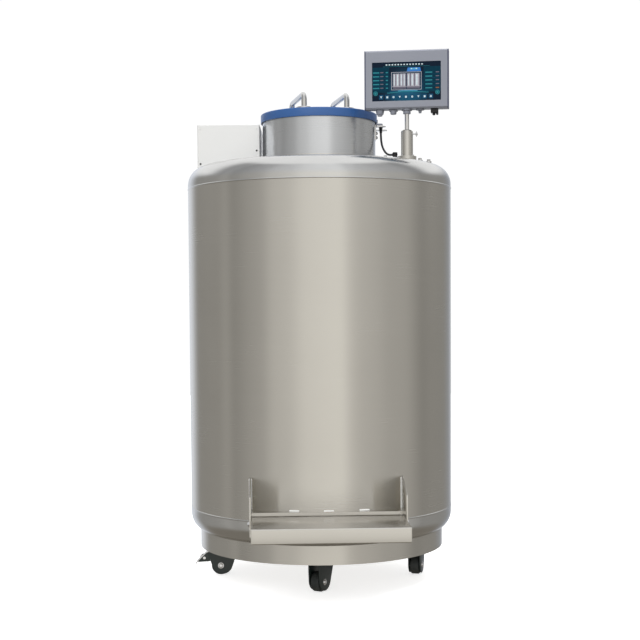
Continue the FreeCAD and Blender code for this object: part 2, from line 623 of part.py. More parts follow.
def build_step():
    body = cyl(SHELL_R, 100, 500)
    low_tangent = SHELL_Z[0] - BOTTOM_STRAIGHT
    body = body.common(cyl(SHELL_R, low_tangent, 500)).fuse(
        moved(flipped(head_solid(SHELL_R, BOTTOM_STRAIGHT, KNUCKLE_R, CROWN_R)), z=low_tangent))
    bead_cut = bead(SHELL_R, SHELL_Z[0])
    plates = []
    for side in (-1, 1):
        x0, x1 = sorted((side * BRACKET_X[0], side * BRACKET_X[1]))
        plate = prism_x([(-340, BRACKET_LOW), (-340, BRACKET_TOP[0] + 9), (-370, BRACKET_TOP[0]),
                         (BRACKET_FRONT, BRACKET_TOP[1]), (BRACKET_FRONT, BRACKET_LOW + 12),
                         (BRACKET_FRONT + 40, BRACKET_LOW)], x0, x1)
        hole = rod((x0 - 1, *STEP_PIVOT), (x1 + 1, *STEP_PIVOT), STEP_BOLT_R)
        plates.append(at_step(plate.cut(hole)).cut(body).cut(bead_cut))
    save("step_brackets", *plates)
    shelf = box(-BRACKET_X[0], BRACKET_X[0], SHELF["y"], -340, *SHELF["z"])
    lip = box(-BRACKET_X[0], BRACKET_X[0], SHELF["y"], SHELF["y"] + 3, SHELF["lip"], SHELF["z"][0])
    save("step_shelf", at_step(fused(shelf, lip)).cut(body))
    bolts = []
    for side in (-1, 1):
        shank = rod((side * 219, *STEP_PIVOT), (side * 239, *STEP_PIVOT), STEP_BOLT_R)
        head = rod((side * BRACKET_X[1], *STEP_PIVOT), (side * (BRACKET_X[1] + 6), *STEP_PIVOT), 9)
        nut = rod((side * 219, *STEP_PIVOT), (side * 225, *STEP_PIVOT), 8)
        bolts.append(at_step(fused(shank, head, nut)))
    save("step_bolts", *bolts)
    build_tread()


def build_tread():
    x, (front, rear), top, sheet = TREAD["x"], TREAD["y"], TREAD["z"], TREAD["sheet"]
    deck = box(-x, x, front, rear, top - sheet, top)
    lip = box(-x, x, front, front + sheet, top - TREAD["lip"], top)
    back = box(-x, x, rear - sheet, rear, top - TREAD["rear"], top)
    pan = [deck, lip, back]
    for side in (-1, 1):
        x0, x1 = sorted((side * x, side * (x - sheet)))
        pivot_y, pivot_z = STEP_PIVOT
        outline = [(front, top - TREAD["lip"]), (front, top), (rear, top), (rear, top - TREAD["rear"]),
                   (pivot_y + 12, pivot_z - 14), (pivot_y - 12, pivot_z - 14),
                   (front + 60, top - TREAD["side"])]
        pan.append(prism_x(outline, x0, x1))
    bore = rod((-x - 5, *STEP_PIVOT), (x + 5, *STEP_PIVOT), STEP_BOLT_R + GAP)
    save("tread", at_step(fused(*pan).cut(bore)))
    inner = x - sheet
    low_y, high_y = BEAM_Y
    beam = box(-inner, inner, low_y, high_y, top - 25, top - sheet)
    beam = beam.cut(box(-inner - 1, inner + 1, low_y + 2, high_y - 2, top - 23, top - sheet - 2))
    save("tread_beam", at_step(beam))


def at_caster(shape, spec):
    # The caster's own frame has its swivel axis on Z and its wheel trailing toward -Y
    return moved(turned(shape, spec["heading"]), *spec["at"])


def fork_cheek(x0, x1, brake):
    (low_y, low_z), (high_y, high_z) = CHEEK_FRONT
    rear_y, rear_z = BRAKE_REAR if brake else CHEEK_REAR
    mid_y, mid_z = CHEEK_MID
    blade = prism_x([(high_y, FORK_TOP), (high_y, high_z), (low_y, low_z), (mid_y + CHEEK_R, mid_z),
                     (mid_y - CHEEK_R, mid_z), (rear_y, rear_z), (rear_y, FORK_TOP)], x0, x1)
    cheek = fused(blade, rod((x0, mid_y, mid_z), (x1, mid_y, mid_z), CHEEK_R))
    return cheek.cut(rod((x0 - 1, -TRAIL, WHEEL_R), (x1 + 1, -TRAIL, WHEEL_R), AXLE_R))


def build_fork(brake):
    cheeks = [fork_cheek(*sorted((side * CHEEK[0], side * CHEEK[1])), brake) for side in (-1, 1)]
    hood = cyl(HOOD_R, FORK_TOP - HOOD, FORK_TOP)
    disc = cyl(SWIVEL_R, FORK_TOP, PLATE_Z[0] - GAP)
    fork = fused(*cheeks, hood, disc).cut(cyl(KINGPIN_R + GAP, FORK_TOP - 2 * HOOD, PLATE_Z[0]))
    if brake:
        pin = rod((-CHEEK[1], *PEDAL_PIVOT), (CHEEK[1], *PEDAL_PIVOT), PEDAL_PIN_R)
        fork = fork.fuse(pin).removeSplitter()
    return fork


def build_pedal():
    # A bent lever over the wheel: pressed at its tip, its webs turn toward the tyre
    y, z = PEDAL_PIVOT
    half = CHEEK[0] - 1
    eye = rod((-half, y, z), (half, y, z), 2 * PEDAL_PIN_R)
    lever = prism_x([(y, z + 5), (y - 16, z + 4), (y - 50, z - 29), (y - 54, z - 38), (y - 50, z - 39),
                     (y - 46, z - 30), (y - 15, z), (y, z)], -half, half)
    webs = [prism_x([(y - 2, z + 4), (y - 16, z + 3), (y - 49, z - 29), (y - 46, z - 33), (y - 5, z - 31)],
                    *sorted((side * half, side * (half - PEDAL_WEB)))) for side in (-1, 1)]
    bore = rod((-half - 1, y, z), (half + 1, y, z), PEDAL_PIN_R + GAP)
    return fused(eye, lever, *webs).cut(bore)


def build_casters():
    wheel = rod((-WHEEL_HALF, -TRAIL, WHEEL_R), (WHEEL_HALF, -TRAIL, WHEEL_R), WHEEL_R)
    wheel = wheel.makeFillet(4, [e for e in wheel.Edges if e.BoundBox.XLength < 1e-6])
    hub = rod((-CHEEK[0] + GAP, -TRAIL, WHEEL_R), (CHEEK[0] - GAP, -TRAIL, WHEEL_R), 12)
    bore = rod((-30, -TRAIL, WHEEL_R), (30, -TRAIL, WHEEL_R), AXLE_R + GAP)
    wheel = fused(wheel, hub).cut(bore)
    axle = rod((-CHEEK[1], -TRAIL, WHEEL_R), (CHEEK[1], -TRAIL, WHEEL_R), AXLE_R)
    heads = [rod((side * CHEEK[1], -TRAIL, WHEEL_R), (side * (CHEEK[1] + 5), -TRAIL, WHEEL_R), 10)
             for side in (-1, 1)]
    axle = fused(axle, *heads)
    plate = fused(box(-PLATE_HALF, PLATE_HALF, -PLATE_HALF, PLATE_HALF, *PLATE_Z),
                  cyl(KINGPIN_R, FORK_TOP - HOOD - GAP, PLATE_Z[0]),
                  cyl(10, FORK_TOP - HOOD - 4, FORK_TOP - HOOD - GAP))
    low, at = PLATE_Z[0] - PLATE_BOLT["tall"], PLATE_BOLT["at"]
    bolts = [cyl(PLATE_BOLT["r"], low, PLATE_Z[0], x, y) for x in (-at, at) for y in (-at, at)]
    mounts = []
    for name, spec in CASTERS.items():
        save("caster_fork_" + name, at_caster(build_fork(spec["brake"]), spec))
        save("caster_wheel_" + name, at_caster(wheel, spec))
        save("caster_axle_" + name, at_caster(axle, spec))
        if spec["brake"]:
            save("brake_pedal_" + name, at_caster(build_pedal(), spec))
        x, y = spec["at"]
        square = dict(spec, heading=math.degrees(math.atan2(y, x)))
        mounts += [at_caster(plate, square)] + [at_caster(bolt, square) for bolt in bolts]
    save("caster_plates", *mounts)


def build_carousel():
    low, high = CAROUSEL_FLOOR
    floor = ring(POST_R, CAROUSEL_R, low, high)
    post = ring(POST_R - POST_WALL, POST_R, low, CAROUSEL_CAP[0])
    quarter = box(POST_R, CAROUSEL_R - 4, -PARTITION / 2, PARTITION / 2, high, CAROUSEL_TOP)
    quarter = quarter.cut(cyl(POST_R, low, CAROUSEL_TOP + 1))
    walls = [turned(quarter, 90 * step) for step in range(4)]
    save("carousel", floor, post, cyl(POST_R, *CAROUSEL_CAP), *walls)
    # The pivot is a boss on the vessel's floor with a spindle standing on it
    inside = head_solid(VESSEL_R - VESSEL_WALL, VESSEL_STRAIGHT, VESSEL_KNUCKLE - VESSEL_WALL,
                        VESSEL_CROWN - VESSEL_WALL)
    boss = cyl(PIVOT_R, PIVOT_Z[0], low - GAP).common(moved(flipped(inside), z=VESSEL_Z[0]))
    save("carousel_pivot", boss, cyl(POST_R - POST_WALL - GAP, low - GAP, PIVOT_Z[1]))


os.makedirs("parts", exist_ok=True)
build_tank()
build_lid()
build_lock()
build_cords()
build_piping_box()
build_mast()
build_screen()
build_step()
build_casters()
build_carousel()
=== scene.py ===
import json
import math

import bmesh
import bpy
from mathutils import Matrix, Vector


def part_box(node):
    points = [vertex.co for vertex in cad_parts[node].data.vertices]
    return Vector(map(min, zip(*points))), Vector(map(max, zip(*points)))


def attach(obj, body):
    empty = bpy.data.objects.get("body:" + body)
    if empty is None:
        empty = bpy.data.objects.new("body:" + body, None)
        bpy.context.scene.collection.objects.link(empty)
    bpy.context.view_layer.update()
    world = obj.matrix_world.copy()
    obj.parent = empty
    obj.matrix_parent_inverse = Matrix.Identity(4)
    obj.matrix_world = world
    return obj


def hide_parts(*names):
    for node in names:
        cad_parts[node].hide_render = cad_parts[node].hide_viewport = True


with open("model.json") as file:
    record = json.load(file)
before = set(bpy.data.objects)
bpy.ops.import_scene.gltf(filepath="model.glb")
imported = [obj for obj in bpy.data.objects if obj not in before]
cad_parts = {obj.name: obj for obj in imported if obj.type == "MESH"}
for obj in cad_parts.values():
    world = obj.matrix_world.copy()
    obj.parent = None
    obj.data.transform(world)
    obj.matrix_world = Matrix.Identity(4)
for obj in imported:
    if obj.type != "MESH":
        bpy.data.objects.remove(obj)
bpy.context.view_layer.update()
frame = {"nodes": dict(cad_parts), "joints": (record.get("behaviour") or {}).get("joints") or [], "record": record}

nodes = frame["nodes"]
mm = 0.001
slotOf = {part["node"]: part["material_slot"] for part in frame["record"]["subparts"]}
print("frame loaded:", len(nodes), "CAD nodes")

camera = dict(distance=4.27, height=0.893, tiltDown=2.83, roll=-0.373, lens=71.3,
              shiftX=-0.0008, shiftY=0.081)


def placeCamera():
    data = bpy.data.cameras.new("studioCamera")
    data.lens = camera["lens"]
    data.sensor_width = 36
    data.shift_x = camera["shiftX"]
    data.shift_y = camera["shiftY"]
    data.clip_end = 50
    eye = bpy.data.objects.new("studioCamera", data)
    turn = Matrix.Rotation(math.radians(90 - camera["tiltDown"]), 4, "X")
    roll = Matrix.Rotation(math.radians(camera["roll"]), 4, "Z")
    eye.matrix_world = Matrix.Translation((0, -camera["distance"], camera["height"])) @ turn @ roll
    bpy.context.scene.collection.objects.link(eye)
    bpy.context.scene.camera = eye


placeCamera()


class Sock:
    # One output of a node tree; arithmetic on it adds Math nodes
    def __init__(self, tree, out=None):
        self.tree = tree
        self.out = out

    def node(self, kind, settings=None, inputs=None, pick=0):
        made = self.tree.nodes.new(kind)
        for key, value in (settings or {}).items():
            if key == "stops":
                fillRamp(made.color_ramp, value)
            else:
                setattr(made, key, value)
        for key, value in (inputs or {}).items():
            if isinstance(value, Sock):
                self.tree.links.new(value.out, made.inputs[key])
            else:
                made.inputs[key].default_value = value
        return Sock(self.tree, made.outputs[pick] if made.outputs else None)

    def calc(self, operation, *values):
        return self.node("ShaderNodeMath", {"operation": operation}, dict(enumerate(values)))

    def __add__(self, other):
        return self.calc("ADD", self, other)

    def __radd__(self, other):
        return self.calc("ADD", other, self)

    def __sub__(self, other):
        return self.calc("SUBTRACT", self, other)

    def __rsub__(self, other):
        return self.calc("SUBTRACT", other, self)

    def __mul__(self, other):
        return self.calc("MULTIPLY", self, other)

    def __rmul__(self, other):
        return self.calc("MULTIPLY", other, self)

    def __truediv__(self, other):
        return self.calc("DIVIDE", self, other)

    def clamp(self, low=0.0, high=1.0):
        return self.node("ShaderNodeClamp", None, {"Value": self, "Min": low, "Max": high})

    def step(self, low, high):
        return self.node("ShaderNodeMapRange", {"interpolation_type": "SMOOTHSTEP"},
                         {"Value": self, "From Min": low, "From Max": high})

    def mix(self, first, second):
        # self is the factor; numbers and colours both come out as a colour
        return self.node("ShaderNodeMix", {"data_type": "RGBA"}, {0: self, 6: first, 7: second}, 2)

    def axis(self, name):
        return self.node("ShaderNodeSeparateXYZ", None, {0: self}, name)


def fillRamp(ramp, stops):
    while len(ramp.elements) < len(stops):
        ramp.elements.new(0.5)
    for element, (place, colour) in zip(ramp.elements, stops):
        element.position = place
        element.color = rgb(colour)


def rgb(colour):
    if isinstance(colour, (int, float)):
        return (colour, colour, colour, 1)
    return tuple(colour) + (1,)


def screenTone(value):
    # The light that a grey of 0 to 255 on a display stands for
    return (value / 255) ** 2.2


# Brightness round the horizon, by the angle from the front toward +X in degrees
studio = dict(steel=0.66, bands=[(-180, 205), (-150, 190), (-134, 122), (-112, 128), (-98, 130), (-88, 144),
                                 (-80, 126), (-64, 143), (-50, 152), (-42, 172), (-26, 180), (-14, 198),
                                 (0, 203), (19, 208), (25, 186), (34, 172), (50, 164), (60, 155),
                                 (80, 150), (98, 122), (112, 126), (136, 122), (152, 130), (165, 170),
                                 (180, 205)],
              warm=(1.01, 0.985, 0.93), cool=(0.95, 0.99, 1.07), coolFrom=145,
              background=1.02, ceiling=1.0, upper=(0.94, 0.97, 1.04), under=(0.22, 0.2, 0.17))


def lightStudio():
    world = bpy.data.worlds.new("studio")
    bpy.context.scene.world = world
    world.use_nodes = True
    tree = world.node_tree
    tree.nodes.clear()
    start = Sock(tree)
    way = start.node("ShaderNodeTexCoord", None, None, "Generated")
    across, deep, up = way.axis("X"), way.axis("Y"), way.axis("Z")
    angle = start.calc("ARCTAN2", across, deep * -1.0)
    stops = []
    for place, tone in studio["bands"]:
        light = screenTone(tone) / studio["steel"]
        tint = studio["warm"] if abs(place) < studio["coolFrom"] else studio["cool"]
        stops.append(((place + 180) / 360, [light * channel for channel in tint]))
    ring = start.node("ShaderNodeValToRGB", {"stops": stops}, {0: angle / math.tau + 0.5})
    cooler = start.node("ShaderNodeVectorMath", {"operation": "MULTIPLY"}, {0: ring, 1: studio["upper"]})
    above = up.step(0.16, 0.4).mix(ring, cooler)
    behind = deep.step(0.1, 0.5) * up.step(0.2, 0.42)
    dome = (up.step(0.8, 0.9) + behind).clamp().mix(above, rgb(studio["ceiling"]))
    dome = (up * -1.0).step(0.28, 0.55).mix(dome, rgb(studio["under"]))
    seen = start.node("ShaderNodeLightPath", None, None, "Is Camera Ray")
    colour = seen.mix(dome, rgb(studio["background"]))
    glow = start.node("ShaderNodeBackground", None, {"Color": colour, "Strength": 1.0})
    start.node("ShaderNodeOutputWorld", None, {"Surface": glow})


def addSoftLight(name, place, aim, size, power):
    data = bpy.data.lights.new(name, "AREA")
    data.shape = "RECTANGLE"
    data.size, data.size_y = size
    data.energy = power
    lamp = bpy.data.objects.new(name, data)
    turn = (Vector(aim) - Vector(place)).to_track_quat("-Z", "Y").to_matrix().to_4x4()
    lamp.matrix_world = Matrix.Translation(place) @ turn
    lamp.visible_glossy = False      # it lights paint and plastic; the metal shows only the studio's bands
    bpy.context.scene.collection.objects.link(lamp)


lightStudio()
addSoftLight("frontFill", (-1.5, -4.0, 3.0), (0, 0, 1.0), (2.5, 2.5), 85)
addSoftLight("topFill", (0.6, -0.4, 4.2), (0, 0, 1.2), (3.0, 3.0), 70)
addSoftLight("backFill", (1.0, 3.8, 2.6), (0, 0, 1.0), (2.5, 2.5), 60)
bpy.context.scene.view_settings.view_transform = "Standard"


def newFinish(name):
    made = bpy.data.materials.new(name)
    made.use_nodes = True
    made.node_tree.nodes.clear()
    return made, Sock(made.node_tree)


def surface(start, inputs, bump=None):
    if bump:
        height, strength, distance = bump
        inputs["Normal"] = start.node("ShaderNodeBump", None,
                                      {"Height": height, "Strength": strength, "Distance": distance})
    shader = start.node("ShaderNodeBsdfPrincipled", None, inputs)
    start.node("ShaderNodeOutputMaterial", None, {"Surface": shader})


def place(start, scale=(1, 1, 1)):
    coords = start.node("ShaderNodeTexCoord", None, None, "Object")
    return start.node("ShaderNodeMapping", None, {"Vector": coords, "Scale": scale})


def noise(start, scale, detail=3.0, rough=0.5, stretch=(1, 1, 1)):
    return start.node("ShaderNodeTexNoise", None, {"Vector": place(start, stretch), "Scale": scale,
                                                   "Detail": detail, "Roughness": rough})


def brushedSteel(name, colour, rough=0.24, stretch=(4, 4, 500), grain=0.05, cloud=0.04, bump=0.06, along=0.0):
    made, start = newFinish(name)
    lines = noise(start, 1.0, 4.0, 0.6, stretch)
    clouds = noise(start, 5.0, 2.0, 0.5)
    dull = [channel * 0.86 for channel in colour]
    tone = (lines * 0.5 + clouds * 0.5).mix(rgb(dull), rgb(colour))
    roughness = lines * grain + clouds * cloud + (rough - grain / 2 - cloud / 2)
    surface(start, {"Base Color": tone, "Metallic": 1.0, "Roughness": roughness, "Anisotropic": along,
                    "Anisotropic Rotation": 0.25}, (lines, bump, 0.0004))
    return made


def paint(name, colour, rough=0.35, coat=0.0, peel=700.0, bump=0.08, fade=0.9):
    made, start = newFinish(name)
    clouds = noise(start, 9.0, 3.0)
    skin = noise(start, peel, 2.0)
    tone = clouds.mix(rgb([channel * fade for channel in colour]), rgb(colour))
    surface(start, {"Base Color": tone, "Roughness": clouds * 0.1 + (rough - 0.05), "Coat Weight": coat,
                    "Coat Roughness": 0.12}, (skin, bump, 0.0003))
    return made


def screenPaint(name):
    # The two upright edges of the frame are painted darker than the flat faces: painted shade
    made, start = newFinish(name)
    low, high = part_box("mast_rod")
    middle = (low + high) / 2
    coords = start.node("ShaderNodeTexCoord", None, None, "Object")
    square = start.node("ShaderNodeMapping", {"vector_type": "TEXTURE"},
                        {"Vector": coords, "Location": (middle.x, middle.y, 0),
                         "Rotation": (0, 0, math.radians(-7.5))})
    # Painted shade: a darker grey on the two upright edges of the frame
    edge = start.calc("ABSOLUTE", square.axis("X")).step(0.1288, 0.1296)
    clouds = noise(start, 9.0, 3.0)
    tone = edge.mix(clouds.mix(rgb((0.24, 0.255, 0.305)), rgb((0.265, 0.28, 0.33))), rgb((0.1, 0.11, 0.17)))
    surface(start, {"Base Color": tone, "Roughness": clouds * 0.1 + 0.38},
            (noise(start, 1300.0, 2.0), 0.1, 0.0003))
    return made


def rubber(name, colour, rough=0.6, dust=0.25, scale=60.0):
    made, start = newFinish(name)
    scuff = noise(start, scale, 5.0, 0.7).step(0.5, 0.75)
    fine = noise(start, 900.0, 2.0)
    tone = (scuff * dust).mix(rgb(colour), rgb((0.2, 0.19, 0.17)))
    surface(start, {"Base Color": tone, "Roughness": scuff * 0.15 + rough}, (fine, 0.15, 0.0003))
    return made


def foilWrap(name):
    made, start = newFinish(name)
    creases = start.node("ShaderNodeTexVoronoi", {"feature": "DISTANCE_TO_EDGE"},
                         {"Vector": place(start), "Scale": 30.0})
    surface(start, {"Base Color": rgb((0.8, 0.8, 0.78)), "Metallic": 1.0, "Roughness": 0.22 + creases * 0.2},
            (creases.step(0.0, 0.2), 0.5, 0.002))
    return made


def foamSkin(name):
    made, start = newFinish(name)
    cells = start.node("ShaderNodeTexVoronoi", None, {"Vector": place(start), "Scale": 450.0})
    stain = noise(start, 14.0, 4.0, 0.6).step(0.45, 0.8)
    surface(start, {"Base Color": (stain * 0.6).mix(rgb((0.84, 0.83, 0.76)), rgb((0.7, 0.66, 0.55))),
                    "Roughness": 0.7 + stain * 0.15}, (cells, 0.35, 0.0006))
    return made


def boardGreen(name):
    made, start = newFinish(name)
    tracks = start.node("ShaderNodeTexBrick", None, {"Vector": place(start, (1, 0, 1)), "Scale": 60.0,
                                                     "Color1": rgb((0.02, 0.16, 0.07)),
                                                     "Color2": rgb((0.03, 0.2, 0.09)),
                                                     "Mortar": rgb((0.3, 0.32, 0.12)), "Mortar Size": 0.05})
    surface(start, {"Base Color": tracks, "Roughness": 0.4}, (noise(start, 300.0), 0.1, 0.0003))
    return made


def brass(name):
    made, start = newFinish(name)
    tarnish = noise(start, 40.0, 4.0, 0.6)
    surface(start, {"Base Color": tarnish.mix(rgb((0.62, 0.42, 0.16)), rgb((0.86, 0.66, 0.34))),
                    "Metallic": 1.0, "Roughness": 0.2 + tarnish * 0.25}, (tarnish, 0.1, 0.0005))
    return made


def displayDark(name):
    # The lit panel: deep blue with a lighter glow low in the middle
    made, start = newFinish(name)
    clouds = noise(start, 18.0, 2.0)
    low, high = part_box("screen_display")
    middle = (low + high) / 2
    coords = start.node("ShaderNodeTexCoord", None, None, "Object")
    away = start.node("ShaderNodeVectorMath", {"operation": "DISTANCE"},
                      {0: coords, 1: (middle.x, middle.y, low.z + 0.03)}, "Value")
    glow = 1 - away.step(0.0, 0.09)
    colour = glow.mix(rgb((0.002, 0.006, 0.014)), rgb((0.006, 0.05, 0.09)))
    surface(start, {"Base Color": colour, "Roughness": 0.12 + clouds * 0.04, "Emission Color": colour,
                    "Emission Strength": 1.0, "Specular IOR Level": 0.08})
    return made


def lit(name, colour, strength=1.0):
    made, start = newFinish(name)
    shade = noise(start, 160.0, 2.0)
    tone = shade.mix(rgb([channel * 0.75 for channel in colour]), rgb(colour))
    body = shade.mix(rgb([channel * 0.1 for channel in colour]), rgb([channel * 0.2 for channel in colour]))
    surface(start, {"Base Color": body, "Roughness": 0.3, "Specular IOR Level": 0.03, "Emission Color": tone,
                    "Emission Strength": strength})
    return made


# One finish for each of the record's material slots
finishes = {
    "stainless": brushedSteel("brushedShell", (0.72, 0.70, 0.655), 0.26, bump=0.015, along=0.8),
    "stainless_head": brushedSteel("satinHead", (0.74, 0.74, 0.73), 0.2, (40, 40, 90), 0.06, 0.05, 0.03),
    "vessel_steel": brushedSteel("millSteel", (0.62, 0.62, 0.62), 0.34, (6, 6, 300), 0.08, 0.08, 0.1),
    "bright_steel": brushedSteel("brightSteel", (0.82, 0.82, 0.83), 0.16, (60, 60, 60), 0.05, 0.05, 0.03),
    "blue_paint": paint("lidBlue", (0.035, 0.115, 0.33), 0.36, 0.12),
    "white_paint": paint("boxWhite", (0.76, 0.765, 0.76), 0.5, 0.0, 1200.0, 0.12, 0.96),
    "screen_paint": screenPaint("screenGrey"),
    "black_steel": paint("forkBlack", (0.02, 0.032, 0.031), 0.35, 0.15, 500.0, 0.1, 0.7),
    "black_plastic": paint("blackPlastic", (0.012, 0.012, 0.014), 0.45, 0.0, 1500.0, 0.15, 0.7),
    "foam": foamSkin("plugFoam"),
    "rubber_seal": rubber("sealRubber", (0.02, 0.02, 0.02)),
    "wheel_rubber": rubber("wheelRubber", (0.024, 0.03, 0.031), 0.55, 0.18, 45.0),
    "cable_black": rubber("cableJacket", (0.012, 0.012, 0.016), 0.42, 0.05, 200.0),
    "tube_blue": paint("airTubeBlue", (0.03, 0.2, 0.45), 0.25, 0.3, 400.0, 0.03, 0.85),
    "wrap_foil": foilWrap("superinsulation"),
    "carousel_alu": brushedSteel("carouselAluminium", (0.8, 0.8, 0.81), 0.32, (8, 8, 220), 0.08, 0.05, 0.08),
    "valve_brass": brass("valveBrass"),
    "display_glass": displayDark("displayDark"),
    "board": boardGreen("boardGreen"),
}
# Finishes beyond the record's slots, each with the slot that it belongs to
extraFinishes = {
    "collarSteel": (brushedSteel("collarSteel", (0.77, 0.79, 0.82), 0.28, (4, 4, 500), 0.04, 0.03, 0.01, 0.8),
                    "stainless"),
    # Near-white paint on the weld beads: a painted highlight for their glint
    "weldPaintedHighlight": (paint("weldPaintedHighlight", (0.95, 0.95, 0.93), 0.45, 0.0, 900.0, 0.2, 0.85), "stainless"),
    "heatTint": (brushedSteel("heatTint", (0.42, 0.26, 0.1), 0.35, (60, 60, 60), 0.1, 0.1, 0.02),
                 "stainless"),
    # Near-black paint: the lower box screws' own dark colour, and painted shade for the screen's vent slots
    "darkScrewsAndVentShade": (paint("darkScrewsAndVentShade", (0.01, 0.01, 0.012), 0.6), "black_plastic"),
    "wheelCore": (paint("wheelCore", (0.05, 0.058, 0.06), 0.45, 0.0, 900.0, 0.1, 0.7), "wheel_rubber"),
    "plateAlu": (brushedSteel("plateAluminium", (0.78, 0.79, 0.8), 0.34, (400, 4, 4)), "carousel_alu"),
    "litWhite": (lit("litWhite", (0.62, 0.74, 0.78)), "display_glass"),
    "litTeal": (lit("litTeal", (0.03, 0.22, 0.26)), "display_glass"),
    "litDeep": (lit("litDeep", (0.004, 0.035, 0.06)), "display_glass"),
    "litTile": (lit("litTile", (0.01, 0.07, 0.14)), "display_glass"),
    "litSky": (lit("litSky", (0.1, 0.38, 0.56)), "display_glass"),
    "litBlue": (lit("litBlue", (0.05, 0.2, 0.55)), "display_glass"),
    "litPale": (lit("litPale", (0.42, 0.41, 0.46)), "display_glass"),
    "litGrey": (lit("litGrey", (0.14, 0.13, 0.17)), "display_glass"),
    "litRust": (lit("litRust", (0.3, 0.12, 0.05)), "display_glass"),
}
for nodeName, piece in nodes.items():
    for material in piece.material_slots:
        material.material = finishes[slotOf[nodeName]]
for material in nodes["collar"].material_slots:
    material.material = extraFinishes["collarSteel"][0]
print("finishes made:", len(finishes) + len(extraFinishes))

floorSpec = dict(reach=9, tone=(0.84, 0.86), glow=0.72)


def layFloor():
    bm = bmesh.new()
    bmesh.ops.create_grid(bm, x_segments=1, y_segments=1, size=floorSpec["reach"])
    mesh = bpy.data.meshes.new("studioFloor")
    bm.to_mesh(mesh)
    bm.free()
    floor = bpy.data.objects.new("studioFloor", mesh)
    bpy.context.scene.collection.objects.link(floor)
    made, start = newFinish("paleFloor")
    speck = noise(start, 30.0, 2.0)
    dark, light = floorSpec["tone"]
    surface(start, {"Base Color": speck.mix(rgb(dark), rgb(light)), "Roughness": 0.7,
                    "Emission Color": rgb(1.0), "Emission Strength": floorSpec["glow"]})
    mesh.materials.append(made)
    floor.visible_glossy = False      # it shows the object's shadow and adds no light of its own
    floor.visible_diffuse = False


layFloor()

sensorCable = dict(radius=3.5, route=[(206, -13, 1496), (206, -13, 1467), (208, -27, 1437), (215, -54, 1413),
                                      (224, -86, 1398), (233, -118, 1392), (241, -146, 1390)])
levelTube = dict(radius=2.0, route=[(176, 134, 1396), (188, 108, 1393), (198, 78, 1391), (206, 46, 1391.5),
                                    (211, 12, 1390), (215, -22, 1389.5), (217, -54, 1388),
                                    (217, -84, 1388.5)])


def layCord(name, spec, node):
    curve = bpy.data.curves.new(name, "CURVE")
    curve.dimensions = "3D"
    curve.bevel_depth = spec["radius"] * mm
    curve.bevel_resolution = 5
    curve.use_fill_caps = True
    line = curve.splines.new("NURBS")
    line.points.add(len(spec["route"]) - 1)
    for point, (x, y, z) in zip(line.points, spec["route"]):
        point.co = (x * mm, y * mm, z * mm, 1)
    line.order_u = 3
    line.use_endpoint_u = True
    line.resolution_u = 12
    cord = bpy.data.objects.new(name, curve)
    bpy.context.scene.collection.objects.link(cord)
    curve.materials.append(finishes[slotOf[node]])
    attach(cord, "tank")
    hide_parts(node)


layCord("sensorCable", sensorCable, "sensor_cable")
layCord("levelTube", levelTube, "level_tube")
print("cords laid")

# Shape tools. They work in millimetres, and finishPiece turns the result into metres.


def facing(at, way):
    # Takes +Z to the direction `way`, at the point `at`
    turn = Vector((0, 0, 1)).rotation_difference(Vector(way)).to_matrix().to_4x4()
    return Matrix.Translation(at) @ turn


def settle(bm, made, where=None, round=0.0, steps=2):
    # Puts new vertices in their place and rounds their sharp edges
    if where is not None:
        bmesh.ops.transform(bm, matrix=where, space=Matrix.Identity(4), verts=made)
    if round:
        edges = {edge for vert in made for edge in vert.link_edges if edge.calc_face_angle(0) > 0.5}
        bmesh.ops.bevel(bm, geom=list(edges), offset=round, segments=steps, profile=0.5, affect="EDGES",
                        material=-1, clamp_overlap=True)


def shift(bm, where):
    bmesh.ops.transform(bm, matrix=where, space=Matrix.Identity(4), verts=bm.verts)


def addBlock(bm, low, high, round=0.0, where=None, steps=2):
    made = bmesh.ops.create_cube(bm, size=1)["verts"]
    bmesh.ops.scale(bm, vec=[top - bottom for bottom, top in zip(low, high)], verts=made)
    bmesh.ops.translate(bm, vec=[(top + bottom) / 2 for bottom, top in zip(low, high)], verts=made)
    settle(bm, made, where, round, steps)


def wire(bm, points, corners, closed):
    # A line of vertices; corners gives the radius of all its turns, or {number: radius} of some
    line = [bm.verts.new(point) for point in points]
    ends = line[1:] + line[:1] if closed else line[1:]
    for start, end in zip(line, ends):
        bm.edges.new((start, end))
    old = {vert for vert in bm.verts if vert not in line}
    inner = range(len(line)) if closed else range(1, len(line) - 1)
    radii = corners if isinstance(corners, dict) else {number: corners for number in inner if corners}
    for number, radius in radii.items():
        bmesh.ops.bevel(bm, geom=[line[number]], offset=radius, offset_type="OFFSET", segments=4, profile=0.5,
                        affect="VERTICES", material=-1)
    return [vert for vert in bm.verts if vert not in old]


def addPlate(bm, outline, start, end, axis="X", corners=0.0, round=0.0, where=None, steps=2):
    # A flat outline, in the two other axes, pushed from start to end along the axis
    place = {"X": lambda a, b: (start, a, b), "Y": lambda a, b: (a, start, b),
             "Z": lambda a, b: (a, b, start)}[axis]
    made = wire(bm, [place(a, b) for a, b in outline], corners, True)
    edges = list({edge for vert in made for edge in vert.link_edges})
    bmesh.ops.contextual_create(bm, geom=edges)
    face = next(face for vert in made for face in vert.link_faces)
    grown = bmesh.ops.extrude_face_region(bm, geom=[face])["geom"]
    far = [item for item in grown if isinstance(item, bmesh.types.BMVert)]
    push = {"X": (1, 0, 0), "Y": (0, 1, 0), "Z": (0, 0, 1)}[axis]
    bmesh.ops.translate(bm, vec=Vector(push) * (end - start), verts=far)
    settle(bm, made + far, where, round, steps)


